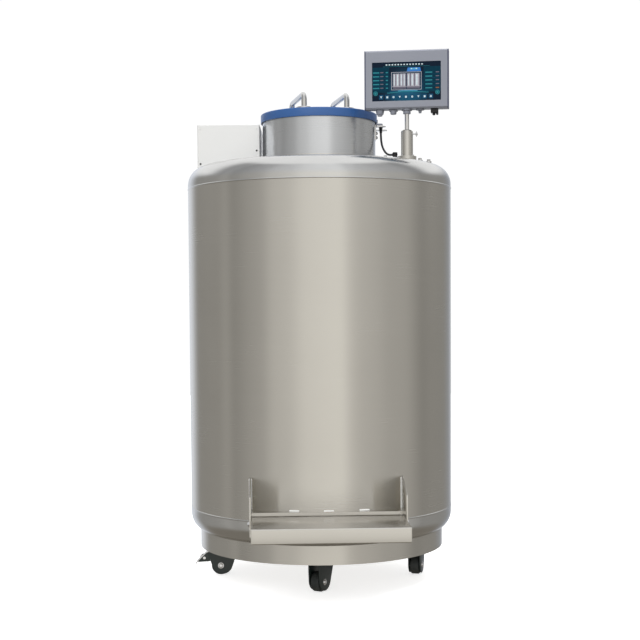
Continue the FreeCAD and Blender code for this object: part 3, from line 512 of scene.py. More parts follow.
def addLathe(bm, outline, corners=0.0, where=None, steps=48, closed=False):
    # An outline of (r, z) spun round Z; a closed one makes a ring
    made = wire(bm, [(r, 0, z) for r, z in outline], corners, closed)
    edges = list({edge for vert in made for edge in vert.link_edges})
    known = set(bm.verts) - set(made)
    bmesh.ops.spin(bm, geom=made + edges, cent=(0, 0, 0), axis=(0, 0, 1), dvec=(0, 0, 0), angle=math.tau,
                   steps=steps, use_merge=True, use_duplicate=False)
    made = [vert for vert in bm.verts if vert not in known]
    bmesh.ops.remove_doubles(bm, verts=made, dist=0.001)
    settle(bm, [vert for vert in bm.verts if vert not in known], where)


def addDisc(bm, at, way, radius, tall, round=0.4, steps=24):
    # A short round bar standing on `at`
    addLathe(bm, [(0, 0), (radius, 0), (radius, tall), (0, tall)], {1: round, 2: round}, facing(at, way),
             steps)


def addHex(bm, at, way, across, tall, round=0.5):
    radius = across / 2 / math.cos(math.pi / 6)
    made = bmesh.ops.create_cone(bm, cap_ends=True, segments=6, radius1=radius, radius2=radius,
                                 depth=tall)["verts"]
    bmesh.ops.translate(bm, vec=(0, 0, tall / 2), verts=made)
    settle(bm, made, facing(at, way), round)


def addBolt(bm, at, way, across, tall, washer=0.0):
    at, way = Vector(at), Vector(way).normalized()
    if washer:
        addDisc(bm, at, way, washer, 1.4)
        at = at + way * 1.4
    addHex(bm, at, way, across, tall)
    addDisc(bm, at + way * tall * 0.98, way, across * 0.3, tall * 0.2, 0.2, 16)


def addScrew(bm, at, way, radius, tall):
    # A domed head with a cross slot left dark by its own shadow
    where = facing(at, way)
    addLathe(bm, [(0, 0), (radius, 0), (radius, tall * 0.35), (radius * 0.55, tall), (radius * 0.3, tall),
                  (radius * 0.22, tall * 0.45), (0, tall * 0.4)], {2: tall * 0.2, 3: tall * 0.1}, where, 20)
    for turn in (0, math.pi / 2):
        slotWhere = where @ Matrix.Rotation(turn, 4, "Z")
        addBlock(bm, (-radius * 0.5, -radius * 0.08, tall * 0.5), (radius * 0.5, radius * 0.08, tall * 0.8),
                 0, slotWhere)


def addBead(bm, at, size):
    # One flattened drop of a weld
    made = bmesh.ops.create_uvsphere(bm, u_segments=10, v_segments=6, radius=1)["verts"]
    bmesh.ops.scale(bm, vec=size, verts=made)
    bmesh.ops.translate(bm, vec=at, verts=made)


def addFrame(bm, outer, inner, start, end, corners=0.0, round=0.0, where=None, chamfer=0.0):
    # A rectangular frame in X and Z: (low x, low z, high x, high z) outside and inside
    loops = []
    for (x0, z0, x1, z1), radius in ((outer, corners), (inner, 0)):
        made = wire(bm, [(x0, start, z0), (x1, start, z0), (x1, start, z1), (x0, start, z1)], radius, True)
        loops.append(made)
    both = loops[0] + loops[1]
    edges = list({edge for vert in both for edge in vert.link_edges})
    faces = bmesh.ops.bridge_loops(bm, edges=edges)["faces"]
    rim = [edge for edge in {edge for vert in loops[0] for edge in vert.link_edges} if edge in edges]
    grown = bmesh.ops.extrude_face_region(bm, geom=faces)["geom"]
    far = [item for item in grown if isinstance(item, bmesh.types.BMVert)]
    bmesh.ops.translate(bm, vec=(0, end - start, 0), verts=far)
    if chamfer:
        bmesh.ops.bevel(bm, geom=rim, offset=chamfer, segments=1, profile=0.5, affect="EDGES", material=-1)
    verts = [vert for vert in bm.verts if vert.is_valid] if chamfer else both + far
    settle(bm, verts, where, round)


def finishPiece(name, bm, finish, body, replaced=(), sharp=35):
    bmesh.ops.remove_doubles(bm, verts=bm.verts, dist=0.0005)
    bmesh.ops.recalc_face_normals(bm, faces=bm.faces)
    bmesh.ops.scale(bm, vec=(mm, mm, mm), verts=bm.verts)
    mesh = bpy.data.meshes.new(name)
    bm.to_mesh(mesh)
    bm.free()
    mesh.shade_smooth()
    mesh.set_sharp_from_angle(angle=math.radians(sharp))
    material, slot = extraFinishes[finish] if finish in extraFinishes else (finishes[finish], finish)
    mesh.materials.append(material)
    piece = bpy.data.objects.new(name, mesh)
    bpy.context.scene.collection.objects.link(piece)
    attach(piece, body)
    if replaced:
        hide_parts(*replaced)
    return piece


joints = {joint["name"]: joint for joint in frame["joints"]}


def jointAt(name):
    return [value / mm for value in joints[name]["pos_m"]]


# The casters. In a caster's own frame its swivel axis is Z and its wheel trails toward -Y.
caster = dict(trail=18, axle=32, wheel=32, half=15, cheek=(17, 21), cheekR=35, cheekMid=(-13, 38), top=96,
              hood=46, pinHole=6.4, disc=34, front=((43, 96), (43, 92), (26, 58)), rear=-50, brakeRear=-60,
              rearZ=66, plate=42, plateCorner=8, plateZ=(106, 112), boltGap=34, pedal=(-50, 76))


def casterWhere(name):
    x, y, z = jointAt("swivel_" + name)
    across = joints["roll_" + name]["axis"]
    return Matrix.Translation((x, y, 0)) @ Matrix.Rotation(math.atan2(across[1], across[0]), 4, "Z")


def makeFork(name, braked):
    bm = bmesh.new()
    rear = caster["brakeRear"] if braked else caster["rear"]
    outline = caster["front"] + ((rear, caster["top"]), (rear, caster["rearZ"]))
    midY, midZ = caster["cheekMid"]
    for side in (-1, 1):
        made = []
        for x in caster["cheek"]:
            at = Matrix.Translation((side * x, midY, midZ)) @ Matrix.Rotation(math.pi / 2, 4, "Y")
            made += bmesh.ops.create_circle(bm, segments=48, radius=caster["cheekR"], matrix=at)["verts"]
            made += [bm.verts.new((side * x, y, z)) for y, z in outline]
        hull = bmesh.ops.convex_hull(bm, input=made)
        spare = [item for item in hull["geom_interior"] if isinstance(item, bmesh.types.BMVert)]
        bmesh.ops.delete(bm, geom=spare, context="VERTS")
    bmesh.ops.dissolve_limit(bm, angle_limit=0.02, verts=bm.verts, edges=bm.edges)
    settle(bm, bm.verts[:], None, 1.3, 3)
    top, hood, disc, pin = caster["top"], caster["hood"], caster["disc"], caster["pinHole"]
    addLathe(bm, [(pin, top - 7), (hood, top - 7), (hood, top), (disc, top), (disc, top + 3),
                  (disc - 2, top + 4), (disc - 2, top + 5.5), (disc, top + 6.5), (disc, top + 9.6),
                  (pin, top + 9.6)],
             {1: 2, 2: 2, 4: 0.6, 7: 0.6}, None, 64, True)
    outer = caster["cheek"][1]
    if braked:
        addDisc(bm, (-outer, *caster["pedal"]), (1, 0, 0), 3, 2 * outer)
    shift(bm, casterWhere(name))
    finishPiece("fork_" + name, bm, "black_steel", "caster_" + name, ["caster_fork_" + name])


def makeWheel(name):
    across = casterWhere(name) @ facing((0, -caster["trail"], caster["axle"]), (1, 0, 0))
    half, r = caster["half"], caster["wheel"]
    bm = bmesh.new()
    addLathe(bm, [(22, 1 - half), (26, 0.2 - half), (29, 0.5 - half), (r, 4 - half), (r, half - 4),
                  (29, half - 0.5), (26, half - 0.2), (22, half - 1)], 0.9, across, 72, True)
    finishPiece("tyre_" + name, bm, "wheel_rubber", "wheel_" + name, ["caster_wheel_" + name])
    bm = bmesh.new()
    side = [(12, 16.6), (12, 13), (19, 11.5), (22.2, 13.5)]
    addLathe(bm, [(5.4, -16.6)] + [(a, -b) for a, b in side] + side[::-1] + [(5.4, 16.6)], 0.5, across, 48,
             True)
    finishPiece("wheelCore_" + name, bm, "wheelCore", "wheel_" + name)
    bm = bmesh.new()
    outer = caster["cheek"][1]
    addLathe(bm, [(0, -outer), (5, -outer), (5, outer), (0, outer)], 0, across, 24)
    for way in (-1, 1):
        end = across @ Matrix.Translation((0, 0, way * outer)) @ facing((0, 0, 0), (0, 0, way))
        addLathe(bm, [(0, 0), (10, 0), (10, 1.2), (8, 1.3), (7.6, 3.2), (5, 4.8), (0, 5)],
                 {2: 0.4, 4: 1, 5: 1}, end, 32)
    finishPiece("axle_" + name, bm, "bright_steel", "caster_" + name, ["caster_axle_" + name])


def makePedal(name):
    # A bright bent lever with a dark web at each side and a cam on its slope
    y, z = caster["pedal"]
    half = 16
    bm = bmesh.new()
    addPlate(bm, [(y, z + 5), (y - 16, z + 4), (y - 50, z - 29), (y - 54, z - 38), (y - 50, z - 39),
                  (y - 46, z - 31), (y - 15, z), (y, z)], -half, half, "X", {1: 5, 2: 3, 6: 4}, 0.8)
    addLathe(bm, [(3.4, -half), (6, -half), (6, half), (3.4, half)], 0.4, facing((0, y, z), (1, 0, 0)), 24,
             True)
    slope = facing((0, y - 34, z - 12), (0, -33, 34))
    addLathe(bm, [(4.5, -1), (7.5, -1), (7, 2.2), (5, 2.2)], 0.5, slope, 28, True)
    for side in (-1, 1):
        addDisc(bm, (side * (half - 0.4), y - 24, z - 19), (side, 0, 0), 5, 2.2, 0.6)
    shift(bm, casterWhere(name))
    finishPiece("pedal_" + name, bm, "bright_steel", "brake_" + name, ["brake_pedal_" + name])
    bm = bmesh.new()
    for side in (-1, 1):
        ends = sorted((side * (half - 0.3), side * (half - 2.5)))
        addPlate(bm, [(y - 2, z + 2), (y - 15, z + 1), (y - 47, z - 29), (y - 45, z - 33), (y - 5, z - 31)],
                 *ends, "X", 2, 0.6)
    shift(bm, casterWhere(name))
    finishPiece("pedalWebs_" + name, bm, "black_steel", "brake_" + name)


def makeCasterPlates(names):
    bm = bmesh.new()
    bolts = bmesh.new()
    half, gap = caster["plate"], caster["boltGap"]
    low, high = caster["plateZ"]
    for name in names:
        x, y, z = jointAt("swivel_" + name)
        where = Matrix.Translation((x, y, 0)) @ Matrix.Rotation(math.atan2(y, x), 4, "Z")
        addPlate(bm, [(-half, -half), (half, -half), (half, half), (-half, half)], low, high, "Z",
                 caster["plateCorner"], 0.8, where)
        for across in (-gap, gap):
            for along in (-gap, gap):
                addBolt(bolts, where @ Vector((across, along, low)), (0, 0, -1), 9.5, 3.4, 6.5)
        addDisc(bolts, (x, y, 88.6), (0, 0, -1), 9.5, 3.8, 1)
        addDisc(bolts, (x, y, 88), (0, 0, 1), 5.8, 18)
    finishPiece("casterPlates", bm, "black_steel", "tank", ["caster_plates"])
    finishPiece("casterBolts", bolts, "bright_steel", "tank")


casterNames = [name[7:] for name in joints if name.startswith("swivel_")]
for casterName in casterNames:
    braked = "brake_press_" + casterName in joints
    makeFork(casterName, braked)
    makeWheel(casterName)
    if braked:
        makePedal(casterName)
makeCasterPlates(casterNames)
print("casters made:", len(casterNames))

# The folding step, in its own frame, turned a little about the tank's axis
step = dict(shell=437.5, bracketX=(232.5, 237.5), tread=231.5, front=-665, rear=-450, top=265, low=220,
            pivot=(-475, 248.6), shelfTop=277, stitches=(-83, 23, 132), seam=(215, 372, 8))
pivotX, pivotY = jointAt("step_fold")[:2]
stepWhere = Matrix.Rotation(math.atan2(pivotX, -pivotY), 4, "Z")


def shellY(x):
    return -math.sqrt(step["shell"] ** 2 - x * x)


def makeBrackets():
    bm = bmesh.new()
    for side in (-1, 1):
        ends = sorted(side * x for x in step["bracketX"])
        addPlate(bm, [(-367.5, 201), (-367.5, 376.5), (-371, 375.7), (-513, 334), (-513, 212), (-473, 200)],
                 *ends, "X", {3: 3, 4: 3, 5: 6}, 0.7, stepWhere)
    finishPiece("stepBrackets", bm, "stainless", "tank", ["step_brackets"])
    bm = bmesh.new()
    for side in (-1, 1):
        for x in step["bracketX"]:
            for z in range(*step["seam"]):
                at = stepWhere @ Vector((side * x, shellY(x) - 0.6, z))
                addBead(bm, at, (2.6, 2.6, 5.6))
    for middle in step["stitches"]:
        for k in range(-4, 5):
            x = middle + 3.2 * k
            addBead(bm, (x, shellY(x) - 1.6, step["shelfTop"] + 1.2), (3.4, 4, 3.4))
    # The weld beads carry a painted highlight: near-white paint
    finishPiece("stepWelds", bm, "weldPaintedHighlight", "tank")
    bm = bmesh.new()
    for k in range(-3, 4):
        x = step["stitches"][1] + 4 * k
        addBead(bm, (x, shellY(x) - 4, step["shelfTop"] - 0.2), (5, 3.4, 0.5))
    finishPiece("heatTint", bm, "heatTint", "tank")


def makeStepBolts():
    bm = bmesh.new()
    y, z = step["pivot"]
    for side in (-1, 1):
        way = stepWhere.to_3x3() @ Vector((side, 0, 0))
        addBolt(bm, stepWhere @ Vector((side * 237.5, y, z)), way, 14, 4, 9)
        addHex(bm, stepWhere @ Vector((side * 220, y, z)), way, 14, 6)
        addDisc(bm, stepWhere @ Vector((side * 218, y, z)), way, 4.8, 20)
    finishPiece("stepBolts", bm, "bright_steel", "tank", ["step_bolts"])


def makeTread():
    bm = bmesh.new()
    x, front, rear, top, low = step["tread"], step["front"], step["rear"], step["top"], step["low"]
    y, z = step["pivot"]
    addPlate(bm, [(rear, top - 15), (rear, top), (front, top), (front, low), (front + 12, low),
                  (front + 12, low + 3), (front + 3, low + 3), (front + 3, top - 3), (rear - 3, top - 3),
                  (rear - 3, top - 15)],
             -x + 2.6, x - 2.6, "X", {1: 3.5, 2: 3.5, 3: 3, 6: 1, 7: 1, 8: 1}, 0.35, stepWhere, 1)
    for side in (-1, 1):
        ends = sorted((side * x, side * (x - 3)))
        addPlate(bm, [(front, low), (front, top), (rear, top), (rear, top - 15), (y + 12, z - 14),
                      (y - 12, z - 14), (front + 60, top - 26)],
                 *ends, "X", {0: 2, 1: 3.5, 2: 3.5, 3: 4, 4: 8, 5: 10}, 0.9, stepWhere)
    finishPiece("stepTread", bm, "stainless", "tread", ["tread"])


makeBrackets()
makeStepBolts()
makeTread()
print("step made")

# The screen, in its own frame: X across, its lower edge at z, its front toward -Y
screen = dict(half=134, low=1527.5, high=1711.5, front=-22.5, seam=-13.5, back=22.5,
              view=(-109, 1552, 109, 1674), glass=-21.5, turn=-7.5, wall=3, seamGap=0.3, chamfer=4.5,
              inset=0.4, vents=9, ventLow=50, ventStep=9, ventHalf=46)
mastX, mastY = jointAt("screen_swivel")[:2]
screenWhere = Matrix.Translation((mastX, mastY, 0)) @ Matrix.Rotation(math.radians(screen["turn"]), 4, "Z")


def makeScreenBody():
    half, low, high, wall = screen["half"], screen["low"], screen["high"], screen["wall"]
    bm = bmesh.new()
    addFrame(bm, (-half, low, half, high), screen["view"], screen["front"],
             screen["seam"] - screen["seamGap"], chamfer=screen["chamfer"])
    shift(bm, screenWhere)
    finishPiece("screenFrame", bm, "screen_paint", "screen", ["screen_bezel"], 25)
    bm = bmesh.new()
    side, foot, head = half - screen["inset"], low + screen["inset"], high - screen["inset"]
    addFrame(bm, (-side, foot, side, head), (-half + wall, low + wall, half - wall, high - wall),
             screen["seam"] + screen["seamGap"], screen["back"] - 1)
    addBlock(bm, (-side, screen["back"] - wall, foot), (side, screen["back"], head), 1.6, None, 3)
    shift(bm, screenWhere)
    finishPiece("screenCase", bm, "screen_paint", "screen", ["screen_case"])
    bm = bmesh.new()
    # The vent slots are near-black blocks on the solid back: painted shade in place of openings
    across = screen["ventHalf"]
    for k in range(screen["vents"]):
        z = low + screen["ventLow"] + screen["ventStep"] * k
        addBlock(bm, (-across, screen["back"] - 0.6, z), (across, screen["back"] + 0.05, z + 3.2), 0.25,
                 screenWhere, 1)
    finishPiece("screenVents", bm, "darkScrewsAndVentShade", "screen")


picture = dict(dashes=13, rows=5, tiles=9, lift=0.05, layer=0.09,
               racks=((0.31, 0.03), (0.352, 0.045), (0.41, 0.035), (0.455, 0.03), (0.515, 0.035),
                      (0.565, 0.045), (0.625, 0.06)))


def makePicture():
    # Thin bright tiles in front of the glass, placed by fractions of the display from its top left corner
    x0, z0, x1, z1 = screen["view"]
    layers = {}

    def front(level):
        return screen["glass"] - picture["lift"] - picture["layer"] * level

    def tile(finish, u0, v0, u1, v1, level=1, lean=0.0):
        bm = layers.setdefault(finish, bmesh.new())
        left, right = x0 + (x1 - x0) * u0, x0 + (x1 - x0) * u1
        top, low = z1 - (z1 - z0) * v0, z1 - (z1 - z0) * v1
        addPlate(bm, [(left + lean, low), (right - lean, low), (right, top), (left, top)], front(level),
                 front(level) + 0.08, "Y", 0, 0, screenWhere)

    def spot(finish, u, v, radius, level=1, inner=0.0):
        bm = layers.setdefault(finish, bmesh.new())
        at = screenWhere @ Vector((x0 + (x1 - x0) * u, front(level), z1 - (z1 - z0) * v))
        way = screenWhere.to_3x3() @ Vector((0, -1, 0))
        addLathe(bm, [(inner, -0.04), (radius, -0.04), (radius, 0.04), (inner, 0.04)], 0, facing(at, way), 28,
                 inner > 0)

    tile("litDeep", 0.004, 0.13, 0.25, 0.78)
    tile("litDeep", 0.75, 0.13, 0.996, 0.78)
    tile("litTeal", 0.16, 0.112, 0.84, 0.117, 2)
    for k in range(picture["dashes"]):
        u = 0.2 + 0.56 * k / picture["dashes"]
        tile("litWhite", u, 0.052, u + 0.022, 0.082, 2)
    for k in range(picture["rows"]):
        v = 0.25 + 0.1 * k
        tile("litTeal", 0.012, v, 0.105, v + 0.03, 2)
        tile("litGrey", 0.12, v, 0.165, v + 0.025, 2)
        tile("litTeal", 0.2, v, 0.232, v + 0.03, 2)
        tile("litTile", 0.012, v + 0.055, 0.235, v + 0.06, 2)
        v += 0.02
        tile("litTeal", 0.775, v, 0.875, v + 0.03, 2)
        tile("litRust" if k == picture["rows"] - 1 else "litGrey", 0.925, v, 0.975, v + 0.025, 2)
        tile("litTile", 0.765, v + 0.055, 0.985, v + 0.06, 2)
    # A storage tank drawn on the display: a body with upright racks, a base and a blue lid tipped up
    tile("litPale", 0.28, 0.26, 0.72, 0.72, 1)
    tile("litDeep", 0.287, 0.272, 0.713, 0.708, 2)
    tile("litGrey", 0.3, 0.3, 0.7, 0.62, 3)
    for u, wide in picture["racks"]:
        tile("litPale", u, 0.3, u + wide, 0.625, 4)
        tile("litWhite", u + wide * 0.3, 0.33, u + wide * 0.6, 0.6, 5)
    tile("litDeep", 0.496, 0.3, 0.504, 0.7, 5)
    tile("litGrey", 0.295, 0.625, 0.705, 0.69, 4, 3)
    tile("litPale", 0.295, 0.625, 0.705, 0.637, 5)
    tile("litBlue", 0.52, 0.15, 0.7, 0.25, 3, -3)
    tile("litSky", 0.55, 0.165, 0.67, 0.2, 4)
    for u in (0.575, 0.645):
        spot("litWhite", u, 0.18, 2, 5)
    for k in range(15):
        u = 0.22 + 0.04 * k
        arch = 0.035 * math.sin(math.pi * (k + 0.5) / 15)
        tile("litTeal", u, 0.79 - arch, u + 0.04, 0.806 - arch, 2)
        tile("litSky" if 3 < k < 11 else "litTile", u, 0.765 - arch, u + 0.04, 0.78 - arch, 2)
    for u in (0.05, 0.95):
        spot("litTeal", u, 0.8, 7, 2, 5)
        spot("litTeal", u, 0.8, 3.6, 2)
    for k in range(picture["tiles"]):
        u = 0.1 + 0.0905 * k
        tile("litTile", u, 0.84, u + 0.062, 0.955, 2)
        middle = u + 0.031
        if k % 3 == 0:
            tile("litWhite", middle - 0.015, 0.875, middle + 0.015, 0.925, 4, 3.2)
        elif k % 3 == 1:
            tile("litWhite", middle - 0.013, 0.875, middle + 0.013, 0.925, 4)
        else:
            spot("litWhite", middle, 0.9, 3.2, 4, 1.2)
    for finish, bm in layers.items():
        finishPiece("picture_" + finish, bm, finish, "screen")


# The row of connectors under the screen, by their place across it
fittings = dict(gland=-86, flange=-43, stem=42, plug=(76, 100))


def makeScreenFittings():
    low = screen["low"]
    down = (0, 0, -1)
    bm = bmesh.new()
    addHex(bm, (fittings["gland"], 0, low), down, 23, 8)
    addLathe(bm, [(0, 0), (12, 0), (12, 4), (10.5, 6.5), (8, 7), (8, 11), (6, 12), (0, 12)],
             {2: 1, 4: 0.5, 5: 1}, facing((fittings["gland"], 0, low - 8), down), 32)
    addBlock(bm, (fittings["flange"] - 14, -11, low - 4), (fittings["flange"] + 14, 11, low), 1.2)
    addLathe(bm, [(0, 0), (10, 0), (10, 8), (9, 8.5), (9, 11), (0, 11)], {1: 0.5, 2: 0.6, 4: 0.8},
             facing((fittings["flange"], 0, low - 4), down), 32)
    addLathe(bm, [(0, 0), (17, 0), (17, 4), (12, 5), (12, 14.5), (0, 14.5)], {1: 0.5, 2: 1, 4: 0.8},
             facing((0, 0, low), down), 40)
    addLathe(bm, [(0, 0), (13.5, 0), (13.5, 3.5), (5.5, 4), (5.5, 8), (4.6, 8.5), (4.6, 13), (0, 13)],
             {2: 0.8, 4: 0.6, 6: 0.6}, facing((fittings["stem"], 0, low), down), 32)
    for x in (fittings["flange"] - 11, fittings["flange"] + 11):
        for y in (-8, 8):
            addDisc(bm, (x, y, low - 4), down, 1.8, 1.2, 0.3, 12)
    shift(bm, screenWhere)
    finishPiece("screenFittings", bm, "screen_paint", "screen", ["screen_fittings"])
    bm = bmesh.new()
    left, right = fittings["plug"]
    addBlock(bm, (left, -11, low - 13), (right, 11, low), 1.5)
    addLathe(bm, [(0, 0), (5, 0), (5, 5), (4, 6), (4, 7.5), (0, 7.5)], 0.4, facing((86, 0, low - 12.8), down),
             24)
    addLathe(bm, [(0, 0), (3.5, 0), (3.5, 8), (0, 8)], {1: 0.4, 2: 0.6},
             facing((94, 0, low - 12), (5, 0, -8)), 20)
    shift(bm, screenWhere)
    finishPiece("screenPlug", bm, "black_plastic", "screen")


# The fixed tube that the mast slides in, with its flange on the head and its thumb screw
mast = dict(r=19, inner=17, bush=1436, top=1463, rod=7.3, foot=1362, flange=30, flangeTop=1379, bolts=24.8,
            clampZ=1449.5)


def makeMast():
    bm = bmesh.new()
    where = Matrix.Translation((mastX, mastY, 0))
    r, top = mast["r"], mast["top"]
    addLathe(bm, [(mast["rod"], mast["bush"]), (mast["inner"], mast["bush"]), (mast["inner"], mast["foot"]),
                  (r, mast["foot"]), (r, top), (mast["rod"], top)], {4: 8, 5: 0.8}, where, 64, True)
    addLathe(bm, [(r - 1, mast["foot"]), (mast["flange"], mast["foot"]), (mast["flange"], mast["flangeTop"]),
                  (r - 1, mast["flangeTop"])], {2: 1.2}, where, 64, True)
    finishPiece("mastTube", bm, "stainless", "tank", ["mast_tube"])
    bm = bmesh.new()
    for k in range(4):
        turn = math.radians(45 + 90 * k)
        at = (mastX + mast["bolts"] * math.cos(turn), mastY + mast["bolts"] * math.sin(turn),
              mast["flangeTop"])
        addHex(bm, at, (0, 0, 1), 6, 3.4)
    finishPiece("mastBolts", bm, "bright_steel", "tank")
    bm = bmesh.new()
    where = facing((mastX, mastY, mast["clampZ"]), (1, 0, 0))
    addLathe(bm, [(0, 7.7), (2.2, 7.7), (2.2, 27), (4.6, 27), (4.6, 29.5), (3.8, 30.2), (4.6, 31), (4.6, 34),
                  (0, 34.4)], {3: 0.5, 7: 0.8}, where, 24)
    addDisc(bm, (mastX + 30.5, mastY, mast["clampZ"] - 8.5), (0, 0, 1), 1.3, 17, 0.5, 12)
    finishPiece("clampScrew", bm, "bright_steel", "clamp", ["mast_clamp"])


# The lid, with its handles turned a little about the tank's axis
lid = dict(r=193.8, skin=3, low=1510, under=1530, top=1538, domeR=150, rise=10, sphere=1130, plug=(157, 138),
           depth=110, foot=26, footTop=1551, footScrews=18.5, plate=70, plateBolts=54, posts=107.5, spread=71,
           turn=11.8)
lidWhere = Matrix.Rotation(math.radians(lid["turn"]), 4, "Z")


def domeZ(r):
    # The height of the lid's top at a radius
    if r > lid["domeR"]:
        return lid["top"]
    return lid["top"] + lid["rise"] - lid["sphere"] + math.sqrt(lid["sphere"] ** 2 - r * r)


def makeLid():
    bm = bmesh.new()
    r, inner = lid["r"], lid["r"] - lid["skin"]
    addLathe(bm, [(0, lid["under"]), (inner, lid["under"]), (inner, lid["low"]), (r, lid["low"]),
                  (r, lid["top"]), (lid["domeR"] + 4, lid["top"])]
             + [(a, domeZ(a)) for a in (150, 120, 90, 60, 30, 0)],
             {2: 0.8, 3: 1.2, 4: 3.2, 5: 2}, None, 144)
    finishPiece("lidCover", bm, "blue_paint", "lid", ["lid_cover"])
    bm = bmesh.new()
    wide, narrow = lid["plug"]
    low = lid["under"] - lid["depth"]
    addLathe(bm, [(0, low), (narrow, low), (narrow + 4.4, low + 26), (narrow + 2.5, low + 27),
                  (narrow + 2.5, low + 33), (narrow + 5.7, low + 34), (narrow + 10.4, low + 61),
                  (narrow + 8.6, low + 62), (narrow + 8.6, low + 68), (narrow + 11.8, low + 69),
                  (wide, lid["under"] - 0.1), (0, lid["under"] - 0.1)], {1: 4}, None, 96)
    finishPiece("lidPlug", bm, "foam", "lid", ["lid_plug"])
    bm = bmesh.new()
    addDisc(bm, (0, 0, low + 0.2), (0, 0, -1), lid["plate"], 2.4, 0.8, 64)
    for k in range(4):
        turn = math.radians(90 * k)
        out = lid["plateBolts"]
        addBolt(bm, (out * math.cos(turn), out * math.sin(turn), low - 2), (0, 0, -1), 8, 3, 7)
    finishPiece("plugPlate", bm, "plateAlu", "lid")


def makeHandleFeet():
    bm = bmesh.new()
    screws = bmesh.new()
    for x in (-lid["spread"], lid["spread"]):
        for y in (-lid["posts"], lid["posts"]):
            at = Matrix.Translation(lidWhere @ Vector((x, y, 0)))
            top, reach = lid["footTop"], lid["footScrews"]
            addLathe(bm, [(8.6, 1538), (lid["foot"], 1538), (lid["foot"], top - 3),
                          (lid["foot"] - 6, top - 1.6), (13, top - 1), (8.6, top + 2)],
                     {2: 1.5, 4: 2}, at, 48, True)
            for k in range(3):
                turn = math.radians(120 * k + 30)
                addScrew(screws, at @ Vector((reach * math.cos(turn), reach * math.sin(turn), top - 1.9)),
                         (0, 0, 1), 3, 1.8)
    finishPiece("handleFeet", bm, "bright_steel", "lid")
    finishPiece("handleScrews", screws, "bright_steel", "lid")


hinge = dict(plateX=26, plateY=193.9, plateZ=(1464, 1494), saddleX=23, saddleY=198.7, saddleZ=1524)


def makeHingeBolts():
    fixed, swinging = bmesh.new(), bmesh.new()
    way = lidWhere.to_3x3() @ Vector((0, 1, 0))
    for side in (-1, 1):
        for z in hinge["plateZ"]:
            addBolt(fixed, lidWhere @ Vector((side * hinge["plateX"], hinge["plateY"], z)), way, 8, 3.6, 6.5)
        saddle = (side * hinge["saddleX"], hinge["saddleY"], hinge["saddleZ"])
        addBolt(swinging, lidWhere @ Vector(saddle), way, 7, 3, 5.5)
    finishPiece("hingeBolts", fixed, "bright_steel", "tank")
    finishPiece("hingeArmBolts", swinging, "bright_steel", "lid")


sensor = dict(x=(191, 212), y=(-24, -3), z=(1496, 1508), cord=(206, -13))


def makeSensor():
    bm = bmesh.new()
    (x0, x1), (y0, y1), (z0, z1) = sensor["x"], sensor["y"], sensor["z"]
    addBlock(bm, (x0 + 0.4, y0, z0), (x1, y1, z1), 2, None, 3)
    addBlock(bm, (x0 + 6, y0 + 3, z1 - 0.4), (x1 - 5, y1 - 3, z1 + 0.8), 0.5)
    finishPiece("lidSensor", bm, "bright_steel", "tank", ["lid_sensor"])
    bm = bmesh.new()
    addLathe(bm, [(0, 0), (7, 0), (6.6, 3), (5.2, 3.6), (6, 7), (4.8, 7.6), (5.4, 11), (4.3, 11.6), (4.8, 15),
                  (3.9, 20), (0, 20)],
             {1: 0.5, 9: 0.8}, facing((*sensor["cord"], z0 + 0.2), (0, 0, -1)), 28)
    finishPiece("sensorBoot", bm, "black_plastic", "tank")


headCaps = dict(at=((323, -180), (352, -168)), r=9, headTangent=1304, headDrop=2511.8, headCrown=2600)


def makeHeadCaps():
    bm = bmesh.new()
    for x, y in headCaps["at"]:
        rise = math.sqrt(headCaps["headCrown"] ** 2 - x * x - y * y)
        headZ = headCaps["headTangent"] - headCaps["headDrop"] + rise
        r = headCaps["r"]
        addLathe(bm, [(0, -3), (r, -3), (r, 3), (0, 3)], {2: 0.8}, Matrix.Translation((x, y, headZ)), 28)
        addHex(bm, (x, y, headZ + 2.8), (0, 0, 1), 11, 6)
    finishPiece("headCaps", bm, "bright_steel", "tank", ["head_caps"])


# The piping box's screws, louvres, nuts, blank plate and socket
boxSpec = dict(x=(-402, -196), y=(-50, 190), top=1505, lowScrews=((-206, 1418), (-392, 1375)),
               highScrews=((-206, 1490), (-392, 1490)), pipeZ=1455, socket=(-330, 1425, -300, 1450),
               nuts=((-374, 26), (-250, 32)), louvres=6, louvreLow=1430, louvreStep=10,
               louvreY=(30, 110), rearScrews=((-388, 1492), (-210, 1492), (-388, 1400), (-210, 1415)),
               plate=(-301, 1471, -213, 1497), rivet=4)


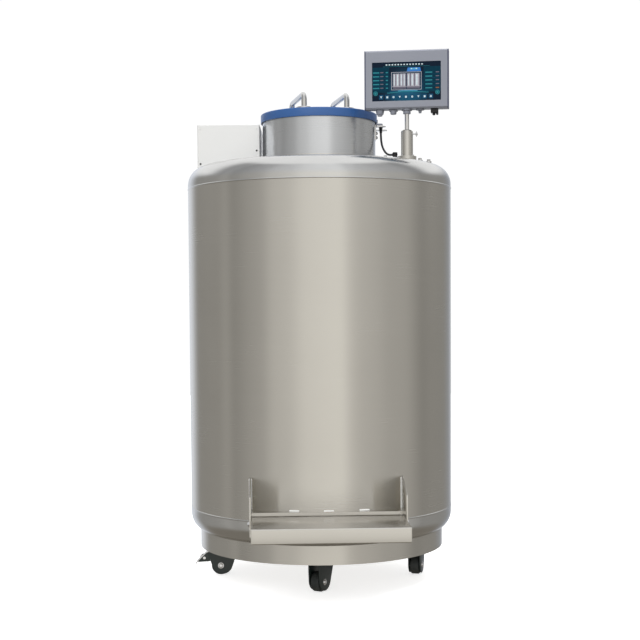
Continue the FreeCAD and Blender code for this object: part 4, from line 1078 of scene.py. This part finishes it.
def makeBoxFittings():
    bm = bmesh.new()
    for x, z in boxSpec["lowScrews"]:
        addScrew(bm, (x, boxSpec["y"][0], z), (0, -1, 0), 3.2, 1.8)
    finishPiece("boxScrews", bm, "darkScrewsAndVentShade", "tank", ["box_screws"])
    bm = bmesh.new()
    for x, z in boxSpec["highScrews"]:
        addScrew(bm, (x, boxSpec["y"][0], z), (0, -1, 0), 2.6, 0.9)
    left = boxSpec["x"][0]
    for k in range(boxSpec["louvres"]):
        z = boxSpec["louvreLow"] + boxSpec["louvreStep"] * k
        outline = [(left + 0.5, z), (left - 4, z), (left - 4, z + 1), (left + 0.5, z + 6)]
        addPlate(bm, outline, *boxSpec["louvreY"], "Y", 0, 0.3)
    finishPiece("boxLouvres", bm, "white_paint", "tank")
    bm = bmesh.new()
    rear, z = boxSpec["y"][1], boxSpec["pipeZ"]
    for x, across in boxSpec["nuts"]:
        addHex(bm, (x, rear - 0.2, z), (0, 1, 0), across, 7, 0.8)
    for x, z in boxSpec["rearScrews"]:
        addScrew(bm, (x, rear, z), (0, 1, 0), 4, 2)
    plateLeft, plateLow, plateRight, plateHigh = boxSpec["plate"]
    rivet = boxSpec["rivet"]
    for x in (plateLeft + rivet, plateRight - rivet):
        for z in (plateLow + rivet, plateHigh - rivet):
            addDisc(bm, (x, rear + 0.5, z), (0, 1, 0), 1.6, 1.2, 0.5, 14)
    finishPiece("boxRearNuts", bm, "bright_steel", "tank")
    bm = bmesh.new()
    addBlock(bm, (plateLeft, rear - 0.1, plateLow), (plateRight, rear + 0.8, plateHigh), 0.3)
    finishPiece("blankPlate", bm, "plateAlu", "tank")
    x0, z0, x1, z1 = boxSpec["socket"]
    bm = bmesh.new()
    addFrame(bm, (x0 - 5, z0 - 5, x1 + 5, z1 + 5), (x0 + 3, z0 + 3, x1 - 3, z1 - 3), rear + 0.1, rear + 3)
    for x in (x0 + 8, (x0 + x1) / 2, x1 - 8):
        addBlock(bm, (x - 1, rear, z0 + 8), (x + 1, rear + 2.5, z1 - 8), 0.3)
    finishPiece("socketFrame", bm, "black_plastic", "tank")


carousel = dict(hemX=(23, 359), hemHalf=3, hemZ=(1184, 1190), capR=(18, 22), capZ=(1236, 1240))


def makeCarouselHems():
    bm = bmesh.new()
    (x0, x1), half, (z0, z1) = carousel["hemX"], carousel["hemHalf"], carousel["hemZ"]
    for k in range(4):
        addBlock(bm, (x0, -half, z0), (x1, half, z1), 2, Matrix.Rotation(math.radians(90 * k), 4, "Z"))
    (r0, r1), (z0, z1) = carousel["capR"], carousel["capZ"]
    addLathe(bm, [(r0, z0), (r1, z0), (r1, z1), (r0, z1)], 0.8, None, 40, True)
    finishPiece("carouselHems", bm, "carousel_alu", "carousel")


# The rear seams of the shell and the collar, dressed flat: each a low and a high corner and its rounding
seams = dict(shell=((-2.4, 436.6, 242), (2.4, 438.1, 1287), 0.7),
             collar=((58, 178.2, 1390), (61, 179.4, 1505), 0.5))


def makeSeams():
    bm = bmesh.new()
    for low, high, round in seams.values():
        addBlock(bm, low, high, round)
    finishPiece("rearSeams", bm, "stainless", "tank")


makeScreenBody()
makePicture()
makeScreenFittings()
makeMast()
print("screen and mast made")
makeLid()
makeHandleFeet()
makeHingeBolts()
makeSensor()
makeHeadCaps()
makeBoxFittings()
makeCarouselHems()
makeSeams()
print("lid, box and fittings made")
